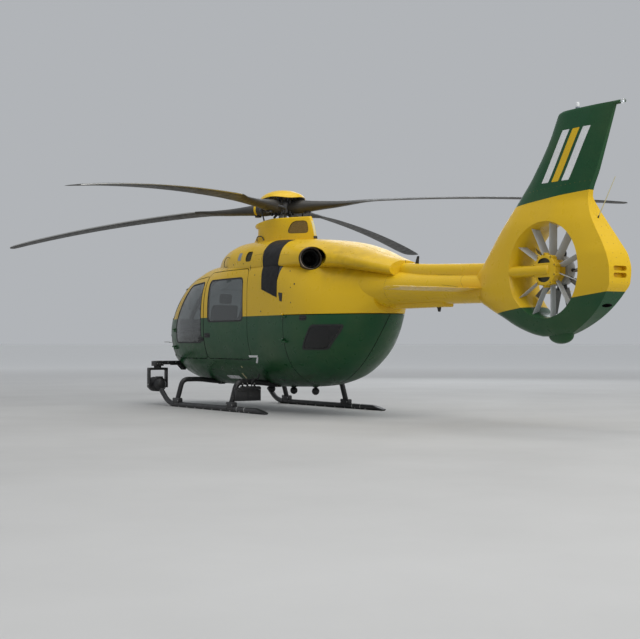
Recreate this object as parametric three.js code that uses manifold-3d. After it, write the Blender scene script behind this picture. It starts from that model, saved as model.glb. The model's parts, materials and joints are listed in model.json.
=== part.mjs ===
// Light twin-engine helicopter with a shrouded tail rotor, on skids.
// Millimetres. +X is the nose, +Y the port side, +Z up, and the floor is at z = 0.
// Everything is laid out from the mast, which stands at x = y = 0. The whole group is
// moved along X at the end, so that the origin is under the middle of the overall box.
import * as THREE from 'three';
import { mergeVertices } from 'three/addons/utils/BufferGeometryUtils.js';
import Module from 'manifold-3d';

const wasm = await Module();
wasm.setup();

// Driving dimensions
const FIT = 0.3;                 // gap between fixed pieces that touch
const DOOR_GAP = 10;             // gap round a door
const WALL = 40;                 // cabin wall and door thickness
const SKIN = 12;                 // wall of the boom, tail housing and fin
const GLASS = { from: 12, to: 18 };   // window pane, depth below the outer skin
const RING = 22;                 // points round a fuselage section
const PORT = 1;
const STARBOARD = -1;

const ROTOR = { radius: 5200, hubZ: 3060, tiltDegrees: 1.74, droop: 327, droopPower: 2.2,
  firstBladeDegrees: 31.65, blades: 4 };
const FAN = { x: -6014, z: 1808, ductRadius: 505, mouthRadius: 559, tipGap: 10, blades: 10 };
const SKID = { track: 1000, radius: 40, rearX: -1240, frontX: 1620, tipX: 2130, tipZ: 245, bevelX: -950 };
const HINGE = { radius: 14, height: 30,
  front: { x: 2330, y: 672, heights: [900, 1180] },
  rear: { x: -1300, y: 780, heights: [1000, 1350] } };
const EXHAUST = { x: -1560, y: 500, z: 2165, radius: 165, angle: 24 };
const DOOR_SILL = 760;
const BELLY_SEAM = 740;
const TAIL_DOOR_TOP = 1390;
const TAIL_LIGHT = { radius: 22, z: 3550, from: -7070, to: -6925 };
const BEACON = { radius: 20, x: -6350, from: 3555, to: 3645 };
const BUMPER = { x: -6090, z: 1082, half: [190, 72, 95] };

// Cabin and rear pod. Each row is one section.
const POD = [
  // x, half width, bottom, widest, top, lower power, upper power
  [3140, 60, 1040, 1130, 1230, 2.0, 2.0],
  [3095, 210, 870, 1140, 1390, 2.1, 2.0],
  [2980, 370, 690, 1150, 1545, 2.2, 2.1],
  [2760, 520, 555, 1160, 1735, 2.3, 2.3],
  [2400, 645, 445, 1180, 1965, 2.3, 2.5],
  [1950, 730, 375, 1220, 2140, 2.3, 2.6],
  [1400, 772, 348, 1260, 2232, 2.3, 2.9],
  [800, 778, 346, 1270, 2238, 2.3, 4.2],
  [200, 780, 345, 1280, 2240, 2.3, 6.0],
  [-900, 778, 365, 1280, 2240, 2.3, 6.0],
  [-1300, 770, 390, 1280, 2240, 2.3, 4.2],
  [-1700, 735, 465, 1280, 2220, 2.3, 2.9],
  [-2050, 650, 640, 1300, 2180, 2.3, 2.5],
  [-2350, 520, 880, 1350, 2120, 2.2, 2.4],
  [-2820, 280, 1400, 1600, 1990, 2.0, 2.2],
];

// Transmission and engine cowling that sits on the cabin roof.
const COWL = [
  // x, half width, bottom, widest, top, lower power, upper power
  [1400, 260, 2050, 2150, 2270, 2.2, 2.2],
  [1200, 420, 2000, 2150, 2375, 2.2, 2.3],
  [980, 530, 2000, 2145, 2465, 2.2, 2.4],
  [720, 615, 2000, 2135, 2520, 2.2, 2.5],
  [400, 690, 2000, 2125, 2545, 2.2, 2.6],
  [-300, 728, 2000, 2120, 2530, 2.2, 2.7],
  [-1100, 722, 2000, 2120, 2490, 2.2, 2.7],
  [-1700, 680, 2000, 2130, 2430, 2.2, 2.6],
  [-2200, 560, 1980, 2110, 2330, 2.2, 2.4],
  [-2700, 400, 1920, 2040, 2190, 2.2, 2.2],
  [-3150, 260, 1850, 1950, 2080, 2.0, 2.0],
];

// Tail boom, with the root that it widens into.
const BOOM = [
  // x, half width, bottom, widest, top, lower power, upper power
  [-2100, 420, 1380, 1720, 2080, 2.2, 2.2],
  [-2600, 360, 1450, 1730, 2040, 2.1, 2.1],
  [-3100, 270, 1490, 1710, 1950, 2.0, 2.0],
  [-3700, 215, 1492, 1690, 1885, 2.0, 2.0],
  [-4400, 190, 1482, 1665, 1850, 2.0, 2.0],
  [-5100, 170, 1475, 1650, 1825, 2.0, 2.0],
];

// Shallow fairing under the boom, in x and z
const BOOM_KEEL = [[-4060, 1600], [-4045, 1450], [-2980, 1450], [-2700, 1600]];

// Raised cover of the tail drive shaft, along the top of the boom.
const SHAFT_COVER = [
  // x, half width, bottom, widest, top, lower power, upper power
  [-2700, 120, 1700, 1960, 2110, 2.0, 2.4],
  [-3200, 100, 1700, 1900, 2040, 2.0, 2.4],
  [-3770, 95, 1700, 1860, 2000, 2.0, 2.4],
  [-5050, 90, 1650, 1810, 1945, 2.0, 2.4],
];

// Tail housing and fin, as flat sections from the bottom up.
const TAIL = [
  // z, leading edge x, trailing edge x, half thickness, trailing half width
  [1085, -5740, -6240, 60, 20],
  [1180, -5460, -6460, 130, 30],
  [1290, -5210, -6660, 180, 35],
  [1400, -4950, -6800, 205, 50],
  [1560, -4770, -6930, 222, 120],
  [1640, -4735, -6985, 225, 155],
  [1800, -4745, -6990, 225, 164],
  [1930, -4860, -6950, 225, 162],
  [2080, -4985, -6856, 222, 140],
  [2310, -5190, -6690, 205, 111],
  [2460, -5310, -6600, 170, 75],
  [2600, -5415, -6549, 130, 37],
  [2870, -5640, -6664, 92, 28],
  [3270, -5915, -6823, 74, 20],
  [3480, -6020, -6905, 55, 16],
  [3545, -6055, -6930, 48, 14],
  [3568, -6110, -6940, 40, 12],
];

const COLOURS = {
  // name: colour, roughness, metalness
  yellow: [0xe2b714, 0.35, 0.0],
  green: [0x0d3f1f, 0.35, 0.0],
  black: [0x17181a, 0.6, 0.1],
  glass: [0x14181b, 0.1, 0.0],
  grey: [0x6f7378, 0.6, 0.2],
  steel: [0x8d9196, 0.4, 0.8],
  blade: [0x37352e, 0.5, 0.0],
  fabric: [0x23262b, 0.9, 0.0],
  trim: [0x4a4d50, 0.8, 0.0],
};

// Geometry helpers
function polar(radius, angle) {
  return [radius * Math.cos(angle), radius * Math.sin(angle)];
}

function degrees(value) {
  return THREE.MathUtils.degToRad(value);
}

function solidOf(geometry) {
  const loose = geometry.index ? geometry.toNonIndexed() : geometry.clone();
  for (const name of Object.keys(loose.attributes)) {
    if (name !== 'position') loose.deleteAttribute(name);
  }
  const merged = mergeVertices(loose, 1e-3);
  const source = merged.index.array;
  const triangles = [];
  for (let i = 0; i < source.length; i += 3) {
    const [a, b, c] = [source[i], source[i + 1], source[i + 2]];
    if (a !== b && b !== c && c !== a) triangles.push(a, b, c);
  }
  return new wasm.Manifold(new wasm.Mesh({
    numProp: 3,
    vertProperties: Float32Array.from(merged.attributes.position.array),
    triVerts: Uint32Array.from(triangles),
  }));
}

function geometryOf(solid) {
  const mesh = solid.getMesh();
  const geometry = new THREE.BufferGeometry();
  const positions = Float32Array.from(mesh.vertProperties);
  geometry.setAttribute('position', new THREE.BufferAttribute(positions, 3));
  geometry.setIndex(new THREE.BufferAttribute(Uint32Array.from(mesh.triVerts), 1));
  return geometry;
}

function mirrored(solid) {
  const geometry = geometryOf(solid);
  geometry.scale(1, -1, 1);
  const index = geometry.index.array;
  for (let i = 0; i < index.length; i += 3) {
    [index[i + 1], index[i + 2]] = [index[i + 2], index[i + 1]];
  }
  return solidOf(geometry);
}

function onSide(solid, side) {
  return side === PORT ? solid : mirrored(solid);
}

function joined(...solids) {
  return solids.reduce((sum, solid) => sum.add(solid));
}

// A closed solid through rings that all have the same number of points.
function loft(rings) {
  const count = rings[0].length;
  const positions = [];
  const indices = [];
  for (const ring of rings) {
    for (const point of ring) positions.push(...point);
  }
  for (let i = 0; i + 1 < rings.length; i += 1) {
    for (let j = 0; j < count; j += 1) {
      const a = i * count + j;
      const b = i * count + (j + 1) % count;
      // The diagonals mirror each other across y = 0
      if (rings[i][j][1] + rings[i][(j + 1) % count][1] >= 0) {
        indices.push(a, b, b + count, a, b + count, a + count);
      } else {
        indices.push(a, b, a + count, b, b + count, a + count);
      }
    }
  }
  for (const [ring, flip] of [[0, true], [rings.length - 1, false]]) {
    const middle = positions.length / 3;
    const mean = [0, 1, 2].map((k) => rings[ring].reduce((sum, p) => sum + p[k], 0) / count);
    positions.push(...mean);
    for (let j = 0; j < count; j += 1) {
      const a = ring * count + j;
      const b = ring * count + (j + 1) % count;
      if (flip) indices.push(middle, b, a);
      else indices.push(middle, a, b);
    }
  }
  const geometry = new THREE.BufferGeometry();
  geometry.setAttribute('position', new THREE.Float32BufferAttribute(positions, 3));
  geometry.setIndex(signedVolume(positions, indices) < 0 ? reversed(indices) : indices);
  return solidOf(geometry);
}

function reversed(indices) {
  const result = [];
  for (let i = 0; i < indices.length; i += 3) result.push(indices[i], indices[i + 2], indices[i + 1]);
  return result;
}

function signedVolume(positions, indices) {
  const corner = (i) => new THREE.Vector3().fromArray(positions, indices[i] * 3);
  let volume = 0;
  for (let i = 0; i < indices.length; i += 3) {
    volume += corner(i).dot(corner(i + 1).cross(corner(i + 2))) / 6;
  }
  return volume;
}

// A fuselage section: an oval that is squarer as its power rises.
function ovalRing([x, halfWidth, bottom, widest, top, lowerPower, upperPower], count = RING) {
  const ring = [];
  for (let i = 0; i < count; i += 1) {
    const angle = (2 * Math.PI * (i + 0.5)) / count;
    const [cos, sin] = polar(1, angle);
    const power = sin > 0 ? upperPower : lowerPower;
    const y = halfWidth * Math.sign(cos) * Math.abs(cos) ** (2 / power);
    const height = sin > 0 ? top - widest : widest - bottom;
    ring.push([x, y, widest + height * Math.sign(sin) * Math.abs(sin) ** (2 / power)]);
  }
  return ring;
}

// Sections of a fuselage body, moved inwards by `inset` (outwards when negative).
function body(sections, inset = 0, count = RING) {
  const first = sections[0][0];
  const last = sections[sections.length - 1][0];
  const middle = (first + last) / 2;
  const shrink = 1 - (2 * inset) / Math.abs(first - last);
  return loft(sections.map(([x, halfWidth, bottom, widest, top, lower, upper]) => ovalRing([
    middle + (x - middle) * shrink, Math.max(halfWidth - inset, 8),
    Math.min(bottom + inset, widest - 8), widest, Math.max(top - inset, widest + 8), lower, upper,
  ], count)));
}

// A closed outline with each side moved outwards by `grow` and rounded corners.
function outline(points, radius = 0, grow = 0) {
  const count = points.length;
  let area = 0;
  points.forEach(([x, y], i) => {
    const [nx, ny] = points[(i + 1) % count];
    area += x * ny - nx * y;
  });
  const turn = Math.sign(area);
  const corners = points.map((point, i) => {
    const before = points[(i + count - 1) % count];
    const after = points[(i + 1) % count];
    const lineOf = (a, b) => {
      const length = Math.hypot(b[0] - a[0], b[1] - a[1]);
      const normal = [((b[1] - a[1]) / length) * turn, (-(b[0] - a[0]) / length) * turn];
      return [normal, normal[0] * a[0] + normal[1] * a[1] + grow];
    };
    const [n1, d1] = lineOf(before, point);
    const [n2, d2] = lineOf(point, after);
    const det = n1[0] * n2[1] - n1[1] * n2[0];
    return [(d1 * n2[1] - d2 * n1[1]) / det, (n1[0] * d2 - n2[0] * d1) / det];
  });
  const shape = new THREE.Shape();
  corners.forEach((corner, i) => {
    const before = corners[(i + count - 1) % count];
    const after = corners[(i + 1) % count];
    const along = (to) => {
      const length = Math.hypot(to[0] - corner[0], to[1] - corner[1]);
      const cut = Math.min(radius, length * 0.45) / length;
      return [corner[0] + (to[0] - corner[0]) * cut, corner[1] + (to[1] - corner[1]) * cut];
    };
    const start = along(before);
    const end = along(after);
    if (i === 0) shape.moveTo(...start);
    else shape.lineTo(...start);
    if (radius > 0) shape.quadraticCurveTo(...corner, ...end);
  });
  shape.closePath();
  return shape;
}

function extruded(shape, depth, steps = 4) {
  return new THREE.ExtrudeGeometry(shape, { depth, bevelEnabled: false, curveSegments: steps });
}

// A prism whose outline is seen from the side (x, z), between two values of y.
function sidePrism(shape, yFrom, yTo) {
  const geometry = extruded(shape, yTo - yFrom);
  geometry.rotateX(Math.PI / 2);
  geometry.translate(0, yTo, 0);
  return solidOf(geometry);
}

// A prism whose outline is seen from above (x, y), between two values of z.
function planPrism(shape, zFrom, zTo) {
  const geometry = extruded(shape, zTo - zFrom);
  geometry.translate(0, 0, zFrom);
  return solidOf(geometry);
}

function block([x0, x1], [y0, y1], [z0, z1]) {
  const geometry = new THREE.BoxGeometry(x1 - x0, y1 - y0, z1 - z0);
  geometry.translate((x0 + x1) / 2, (y0 + y1) / 2, (z0 + z1) / 2);
  return solidOf(geometry);
}

// A turned solid about `axis` through `centre`; profile points are [radius, along].
function turned(profile, axis, centre, count = 24) {
  const points = profile.map(([radius, along]) => new THREE.Vector2(radius, along));
  if (profile[0][0] > 0) points.push(points[0].clone());
  const geometry = new THREE.LatheGeometry(points, count);
  if (axis === 'z') geometry.rotateX(Math.PI / 2);
  if (axis === 'x') geometry.rotateZ(-Math.PI / 2);
  geometry.translate(...centre);
  const solid = solidOf(geometry);
  return solid.volume() < 0 ? solidOf(flipped(geometry)) : solid;
}

function flipped(geometry) {
  const plain = geometry.clone();
  plain.setIndex(reversed(Array.from(geometry.index.array)));
  return plain;
}

function rod(radius, axis, centre, from, to, count = 20) {
  return turned([[0, from], [radius, from], [radius, to], [0, to]], axis, centre, count);
}

// A round tube along straight runs whose corners are rounded over `bend` each way.
function pipe(points, radius, steps, bend, sides = 8) {
  const corners = points.map((p) => new THREE.Vector3(...p));
  const path = new THREE.CurvePath();
  let from = corners[0];
  for (let i = 1; i + 1 < corners.length; i += 1) {
    const towards = (other) => {
      const length = corners[i].distanceTo(other);
      return corners[i].clone().lerp(other, Math.min(bend / length, 0.499));
    };
    const into = towards(corners[i - 1]);
    const out = towards(corners[i + 1]);
    if (from.distanceTo(into) > 1) path.add(new THREE.LineCurve3(from, into));
    path.add(new THREE.QuadraticBezierCurve3(into, corners[i], out));
    from = out;
  }
  path.add(new THREE.LineCurve3(from, corners[corners.length - 1]));
  const section = new THREE.Shape();
  for (let i = 0; i <= sides; i += 1) {
    const [x, y] = polar(radius, (2 * Math.PI * i) / sides);
    if (i === 0) section.moveTo(x, y);
    else section.lineTo(x, y);
  }
  return solidOf(new THREE.ExtrudeGeometry(section, { steps, bevelEnabled: false, extrudePath: path }));
}

const group = new THREE.Group();

function addNode(parent, name, solid, colour) {
  const [hex, roughness, metalness] = COLOURS[colour];
  const material = new THREE.MeshStandardMaterial({ color: hex, roughness, metalness });
  const mesh = new THREE.Mesh(geometryOf(solid), material);
  mesh.name = name;
  parent.add(mesh);
  return mesh;
}

// Fuselage bodies used by several pieces
const podOuter = body(POD);
const podGrown = body(POD, -FIT);
const podInner = body(POD, WALL);
const podShell = podOuter.subtract(podInner);
const paneShell = body(POD, GLASS.from).subtract(body(POD, GLASS.to));
const FAR = 1600;

// Outlines on the side of the pod, in x and z
const SIDE_CUTS = {
  frontDoor: [[HINGE.front.x, DOOR_SILL], [HINGE.front.x, 1330], [1830, 2000], [1110, 2040], [1110, DOOR_SILL]],
  frontWindow: [[2230, 1010], [2240, 1320], [1800, 1915], [1200, 1950], [1200, 1010]],
  sideDoor: [[1100, DOOR_SILL], [1100, 2090], [-290, 2090], [-290, DOOR_SILL]],
  sideWindow: [[960, 1330], [960, 1960], [-150, 1960], [-150, 1330]],
  rearWindow: [[-700, 1790], [-1080, 1650], [-1160, 2000], [-1200, 2130], [-800, 2130], [-715, 2000]],
  tailDoorWindow: [[-1690, 915], [-2100, 915], [-2345, 1160], [-2400, 1240], [-1910, 1240]],
};
const WINDSCREEN = [[3400, 1400], [2470, 1400], [1900, 2060], [1820, 2400], [3400, 2400]];
const CHIN_WINDOW = [[2500, 800], [2620, 1130], [3010, 1130], [2960, 800]];

function sideRegion(points, radius, grow, yFrom = 60) {
  return sidePrism(outline(points, radius, grow), yFrom, FAR);
}

function pane(points, radius, yFrom) {
  return paneShell.intersect(sideRegion(points, radius, -FIT, yFrom));
}

// Doors with their window cut, and the glass that fills it
function door(doorPoints, windowPoints, doorRadius, windowRadius) {
  const panel = podShell.intersect(sideRegion(doorPoints, doorRadius, -DOOR_GAP / 2));
  return panel.subtract(sideRegion(windowPoints, windowRadius, 0));
}

function tailDoor() {
  const gap = DOOR_GAP / 2;
  const region = block([-4000, HINGE.rear.x - gap], [gap, FAR], [0, TAIL_DOOR_TOP - gap]);
  return podShell.intersect(region).subtract(sideRegion(SIDE_CUTS.tailDoorWindow, 60, 0));
}

// Hinge knuckles on the pin's axis: the door's reach aft, the shell's sit on top and reach forward
function doorKnuckles({ x, y, heights }) {
  const { radius, height } = HINGE;
  return joined(...heights.map((z) => joined(rod(radius, 'z', [x, y, 0], z, z + height, 12),
    block([x - 80, x], [y - 50, y + radius], [z, z + height]))));
}

function shellKnuckles({ x, y, heights }) {
  const { radius, height } = HINGE;
  return joined(...heights.map((z) => {
    const [from, to] = [z + height + FIT, z + 2 * height];
    return joined(rod(radius, 'z', [x, y, 0], from, to, 12),
      block([x, x + 80], [y - 50, y + radius], [from, to]));
  }));
}

// Rollers in the sill that carry a sliding door
const ROLLER = { places: [900, -100], half: 40, y: [648, 672] };
function doorRollers() {
  const top = DOOR_SILL + DOOR_GAP / 2 - FIT;
  return joined(...ROLLER.places.map((x) => (
    block([x - ROLLER.half, x + ROLLER.half], ROLLER.y, [DOOR_SILL - 15, top]))));
}

// Fixed shell: what is left when doors, windows and the tail doors are cut away
function fixedShell() {
  let shell = podShell;
  const cuts = [
    sideRegion(SIDE_CUTS.frontDoor, 90, DOOR_GAP / 2),
    sideRegion(SIDE_CUTS.sideDoor, 90, DOOR_GAP / 2),
    sideRegion(SIDE_CUTS.rearWindow, 50, 0, 300),
    sideRegion(WINDSCREEN, 60, 0, 25),
    sideRegion(CHIN_WINDOW, 60, 0, 90),
  ];
  for (const cut of cuts) shell = shell.subtract(cut).subtract(mirrored(cut));
  const rearOpening = [HINGE.rear.x + DOOR_GAP / 2, TAIL_DOOR_TOP + DOOR_GAP / 2];
  shell = shell.subtract(block([-4000, rearOpening[0]], [-FAR, FAR], [0, rearOpening[1]]));
  const bore = exhaustBore();
  shell = shell.subtract(bore).subtract(mirrored(bore));
  const fittings = joined(shellKnuckles(HINGE.front), shellKnuckles(HINGE.rear), doorRollers());
  return joined(shell, fittings, mirrored(fittings));
}

function bellyShell(shell) {
  const belly = shell.intersect(block([-4000, 4000], [-FAR, FAR], [0, BELLY_SEAM]));
  return BELLY_BALLS.reduce((sum, [x, z]) => sum.add(bellyBall(x, z)), belly);
}

// Round aerials on short stubs under the belly
const BELLY_BALLS = [[320, 300], [-330, 295], [-940, 300]];
function bellyBall(x, z) {
  const ball = new THREE.SphereGeometry(55, 12, 8);
  ball.translate(x, 0, z);
  return joined(solidOf(ball), rod(22, 'z', [x, 0, 0], z, 410, 10)).subtract(podInner);
}

function upperShell(shell) {
  return shell.intersect(block([-4000, 4000], [-FAR, FAR], [BELLY_SEAM + FIT, 4000]));
}

// Cabin inside
const FLOOR = { top: 660, thick: 45, from: -1250, to: 2550, rim: 12 };
function cabinFloor() {
  const { top, thick, from, to, rim } = FLOOR;
  const slab = block([from, to], [-FAR, FAR], [top - thick, top - rim]);
  const deck = block([from + rim, to - rim], [-FAR, FAR], [top - thick, top]);
  return joined(slab.intersect(body(POD, WALL + FIT)), deck.intersect(body(POD, WALL + rim)));
}

function instrumentPanel() {
  const console = block([1900, 2500], [-130, 130], [FLOOR.top + FIT, 900]);
  const side = [[2480, 860], [2560, 1330], [2240, 1330], [2180, 1240], [2330, 860]];
  const face = sidePrism(outline(side, 20), -420, 420);
  return joined(console, face).intersect(body(POD, WALL + 5));
}

function seat(x, y, width) {
  const half = width / 2;
  const base = block([x - 220, x + 200], [y - half * 0.7, y + half * 0.7], [FLOOR.top + FIT, 880]);
  const cushion = block([x - 240, x + 260], [y - half, y + half], [880, 990]);
  const side = [[x - 160, 960], [x - 300, 1620], [x - 410, 1600], [x - 290, 900]];
  const back = sidePrism(outline(side, 40), y - half, y + half);
  const head = block([x - 390, x - 300], [y - half * 0.5, y + half * 0.5], [1590, 1760]);
  return joined(base, cushion, back, head);
}

// Engines and main gearbox under the cowling, as one heavy block
function powerPack() {
  const gearbox = rod(260, 'z', [0, 0, 0], 2240 + FIT, GEARBOX_TOP, 16);
  const tie = block([-700, 0], [-330, 330], [2270, 2330]);
  const engines = [PORT, STARBOARD].map((side) => rod(110, 'x', [0, side * 300, 2300], -1340, -450, 16));
  return joined(gearbox, tie, ...engines).subtract(podGrown);
}

// Cowling over the cabin roof
const cowlOuter = body(COWL);
const cowlGrown = body(COWL, -FIT);
const boomRoot = body(BOOM);
const FIREWALL_X = -620;

function exhaustCutter(radius, from, to) {
  const geometry = new THREE.CylinderGeometry(radius, radius, to - from, 24);
  geometry.translate(0, (from + to) / 2, 0);
  geometry.rotateZ(Math.PI / 2);
  geometry.rotateZ(-degrees(EXHAUST.angle));
  geometry.translate(EXHAUST.x, EXHAUST.y, EXHAUST.z);
  return solidOf(geometry);
}

// The room that an exhaust takes up in the cowling and in the cabin's roof corner
function exhaustBore() {
  return exhaustCutter(EXHAUST.radius + FIT, -200 - FIT, 400);
}

function exhaust(side) {
  const pipeWall = exhaustCutter(EXHAUST.radius, -200, 190).subtract(exhaustCutter(EXHAUST.radius - 22, -150, 260));
  return onSide(pipeWall, side);
}

function cowlShell() {
  const inner = body(COWL, 25);
  let shell = cowlOuter.subtract(inner).subtract(podGrown).subtract(body(BOOM, -FIT));
  const hole = exhaustBore();
  shell = shell.subtract(hole).subtract(mirrored(hole));
  const opening = [[280, -240], [280, 240], [-150, 240], [-640, 60], [-640, -60], [-150, -240]];
  shell = shell.subtract(planPrism(outline(opening, 60), 2300, 2700)).subtract(fairingBody(FIT));
  const grille = ventGrille();
  return shell.subtract(grille).subtract(mirrored(grille));
}

// Oval air vents in the cowling's sides, with slats left standing between the slots
const VENT = { x: -225, z: 2268, halfLength: 88, halfHeight: 74, depth: 14, slats: 3 };
function ventGrille() {
  const { x, z, halfLength, halfHeight, depth, slats } = VENT;
  const oval = new THREE.Shape();
  oval.absellipse(x, z, halfLength, halfHeight, 0, 2 * Math.PI);
  let slots = sidePrism(oval, 200, FAR).subtract(body(COWL, depth));
  for (let i = 1; i <= slats; i += 1) {
    const height = z - halfHeight + (2 * halfHeight * i) / (slats + 1);
    slots = slots.subtract(block([x - 100, x + 100], [200, FAR], [height - 4, height + 4]));
  }
  return slots;
}

// Upper fairing round the mast: round in front, tapered to a narrow edge behind, with a front lip
const FAIRING = { widest: -100, tailPart: 0.15, taperPower: 1.2, dipFrom: -200, dipLength: 640 };
const FAIRING_ROWS = [
  // z, front x, rear x, half width, power, dip of the front
  [2430, 430, -930, 365, 3.4, 0],
  [2540, 390, -905, 352, 3.4, 0],
  [2600, 340, -895, 347, 3.5, 0],
  [2640, 305, -890, 345, 3.6, 0],
  [2715, 310, -880, 345, 3.6, 0],
  [2748, 400, -875, 346, 3.4, 15],
  [2795, 440, -870, 345, 3.4, 30],
  [2835, 420, -868, 340, 3.4, 55],
  [2850, 360, -862, 320, 3.4, 62],
];

function fairingRing([z, front, rear, halfWidth, power, dip]) {
  const { widest, tailPart, taperPower, dipFrom, dipLength } = FAIRING;
  const ring = [];
  const count = 24;
  for (let i = 0; i < count; i += 1) {
    const [cos, sin] = polar(1, (2 * Math.PI * (i + 0.5)) / count);
    const along = Math.abs(cos) ** (2 / power);
    const taper = cos > 0 ? 1 : 1 - (1 - tailPart) * along ** taperPower;
    const x = widest + ((cos > 0 ? front : rear) - widest) * along;
    const y = halfWidth * taper * Math.sign(sin) * Math.abs(sin) ** (2 / power);
    ring.push([x, y, z - dip * THREE.MathUtils.clamp((x - dipFrom) / dipLength, 0, 1)]);
  }
  return ring;
}

function fairingBody(grow) {
  return loft(FAIRING_ROWS.map(([z, front, rear, half, power, dip]) => (
    fairingRing([z, front + grow, rear - grow, half + grow, power, dip]))));
}

const WELL = { radius: 240, floor: 2700 };
const INTAKE = [[-500, 2615], [-500, 2785], [-825, 2785], [-835, 2605]];
const GRILLE = { bars: 6, from: -535, pitch: 50, half: 5, depth: 22, barDepth: 8 };
function intakeRecess() {
  const { bars, from, pitch, half, depth, barDepth } = GRILLE;
  const front = fairingBody(-barDepth);
  let recess = sideRegion(INTAKE, 60, 0, 0).subtract(fairingBody(-depth));
  for (let i = 0; i < bars; i += 1) {
    const x = from - i * pitch;
    recess = recess.subtract(block([x - half, x + half], [0, FAR], [2000, 3000]).intersect(front));
  }
  return recess;
}

function mastFairing() {
  const well = rod(WELL.radius, 'z', [0, 0, 0], WELL.floor, 3000, 16);
  const shaftHole = rod(92, 'z', [0, 0, 0], 2300, 3000, 14);
  const wellWall = rod(WELL.radius + 15, 'z', [0, 0, 0], WELL.floor - 15, 3000, 16);
  const room = block([-400, 2000], [-FAR, FAR], [2000, 2760]);
  const cavity = fairingBody(-18).intersect(room).subtract(wellWall);
  const recess = intakeRecess();
  const shell = fairingBody(0).subtract(cavity).subtract(well).subtract(shaftHole);
  return shell.subtract(recess).subtract(mirrored(recess));
}

// Tail
function tailRing([z, lead, trail, half, trailHalf], grow = 0) {
  const chord = lead - trail;
  const rows = [
    // part of the chord from the leading edge, part of the half thickness
    [0, 0], [0.012, 0.28], [0.05, 0.55], [0.12, 0.8], [0.24, 0.97], [0.4, 1], [0.62, 1],
  ];
  const side = rows.map(([along, part]) => [lead + grow - along * chord, part * half + (part > 0 ? grow : 0)]);
  side.push([trail + chord * 0.16, half * 0.55 + trailHalf * 0.45 + grow]);
  side.push([trail - grow, trailHalf + grow]);
  const port = side.map(([x, y]) => [x, y, z]);
  const starboard = side.slice(1).reverse().map(([x, y]) => [x, -y, z]);
  return [...port, ...starboard];
}

const FIN_SPLIT = [[-4000, 2535], [-8000, 2740], [-8000, 4500], [-4000, 4500]];
function tailBody(grow = 0, rows = TAIL) {
  return loft(rows.map((row) => tailRing(row, grow)));
}

const DUCT_SIDES = 32;
function ductCutter(grow = 0) {
  const { ductRadius, mouthRadius } = FAN;
  const half = [[ductRadius, 60], [ductRadius + 14, 130], [mouthRadius, 225], [mouthRadius, 300]];
  const grown = half.map(([radius, along]) => [radius + grow, along]);
  const lower = grown.map(([radius, along]) => [radius, -along]).reverse();
  return turned([[0, -300], ...lower, ...grown, [0, 300]], 'y', [FAN.x, 0, FAN.z], DUCT_SIDES);
}

function tailBumper() {
  const bumper = new THREE.SphereGeometry(1, 16, 10);
  bumper.scale(...BUMPER.half);
  bumper.translate(BUMPER.x, 0, BUMPER.z);
  return solidOf(bumper);
}

// Air space inside the housing and fin, clear of the duct's own wall
function tailCavity() {
  const [bottom, top] = [TAIL[0][0], TAIL[TAIL.length - 1][0]];
  const slab = block([-8000, -4000], [-FAR, FAR], [bottom + SKIN, top - SKIN]);
  const coarse = TAIL.filter((row, i) => i % 2 === 0);
  return tailBody(-SKIN, coarse).intersect(slab).subtract(ductCutter(SKIN));
}

function tailShroud(tail) {
  const split = sidePrism(outline(FIN_SPLIT), -FAR, FAR);
  return joined(tail.subtract(tailCavity()), tailBumper()).subtract(split).subtract(ductCutter());
}

function verticalFin(tail) {
  const split = sidePrism(outline(FIN_SPLIT, 0, -FIT), -FAR, FAR);
  const light = rod(TAIL_LIGHT.radius, 'x', [0, 0, TAIL_LIGHT.z], TAIL_LIGHT.from, TAIL_LIGHT.to, 10);
  const beacon = rod(BEACON.radius, 'z', [BEACON.x, 0, 0], BEACON.from, BEACON.to, 10);
  return joined(tail.subtract(tailCavity()).intersect(split), light, beacon);
}

// Fixed vanes, gearbox and shaft tube on the port side of the duct
function tailStator(duct) {
  const parts = [
    turned([[0, 0], [150, 0], [155, 70], [140, 112], [176, 118], [176, 205], [150, 214], [0, 217]],
      'y', [FAN.x, 0, FAN.z], 24),
    rod(68, 'x', [0, 150, FAN.z], FAN.x, FAN.x + 540, 14),
  ];
  const bosses = 10;
  for (let i = 0; i < bosses; i += 1) {
    const [x, z] = polar(172, (2 * Math.PI * i) / bosses);
    parts.push(rod(20, 'y', [FAN.x + x, 0, FAN.z + z], 118, 205, 6));
  }
  const step = 360 / (FAN.blades + 1);
  for (let i = 1; i <= FAN.blades; i += 1) {
    const vane = new THREE.BoxGeometry(400, 100, 16);
    vane.rotateX(degrees(14));
    vane.translate(350, 70, 0);
    vane.rotateY(-degrees(i * step));
    vane.translate(FAN.x, 0, FAN.z);
    parts.push(solidOf(vane));
  }
  return joined(...parts).intersect(duct);
}

function tailFan() {
  const radius = FAN.ductRadius - FAN.tipGap;
  const hub = [[0, -FIT], [60, -FIT], [60, -8], [165, -8], [170, -30], [170, -110], [140, -150],
    [70, -175], [0, -180]];
  const parts = [turned(hub, 'y', [FAN.x, 0, FAN.z], 24)];
  // Uneven spacing keeps the fan quiet
  const places = [0, 31, 72, 105, 144, 180, 211, 252, 285, 324];
  for (const place of places) {
    const blade = new THREE.BoxGeometry(radius - 140, 16, 72);
    blade.rotateX(degrees(32));
    blade.translate(140 + (radius - 140) / 2, -80, 0);
    blade.rotateY(degrees(place));
    blade.translate(FAN.x, 0, FAN.z);
    parts.push(solidOf(blade));
  }
  const disc = rod(radius, 'y', [FAN.x, 0, FAN.z], -190, 0, 48);
  return joined(...parts).intersect(disc);
}

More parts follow.
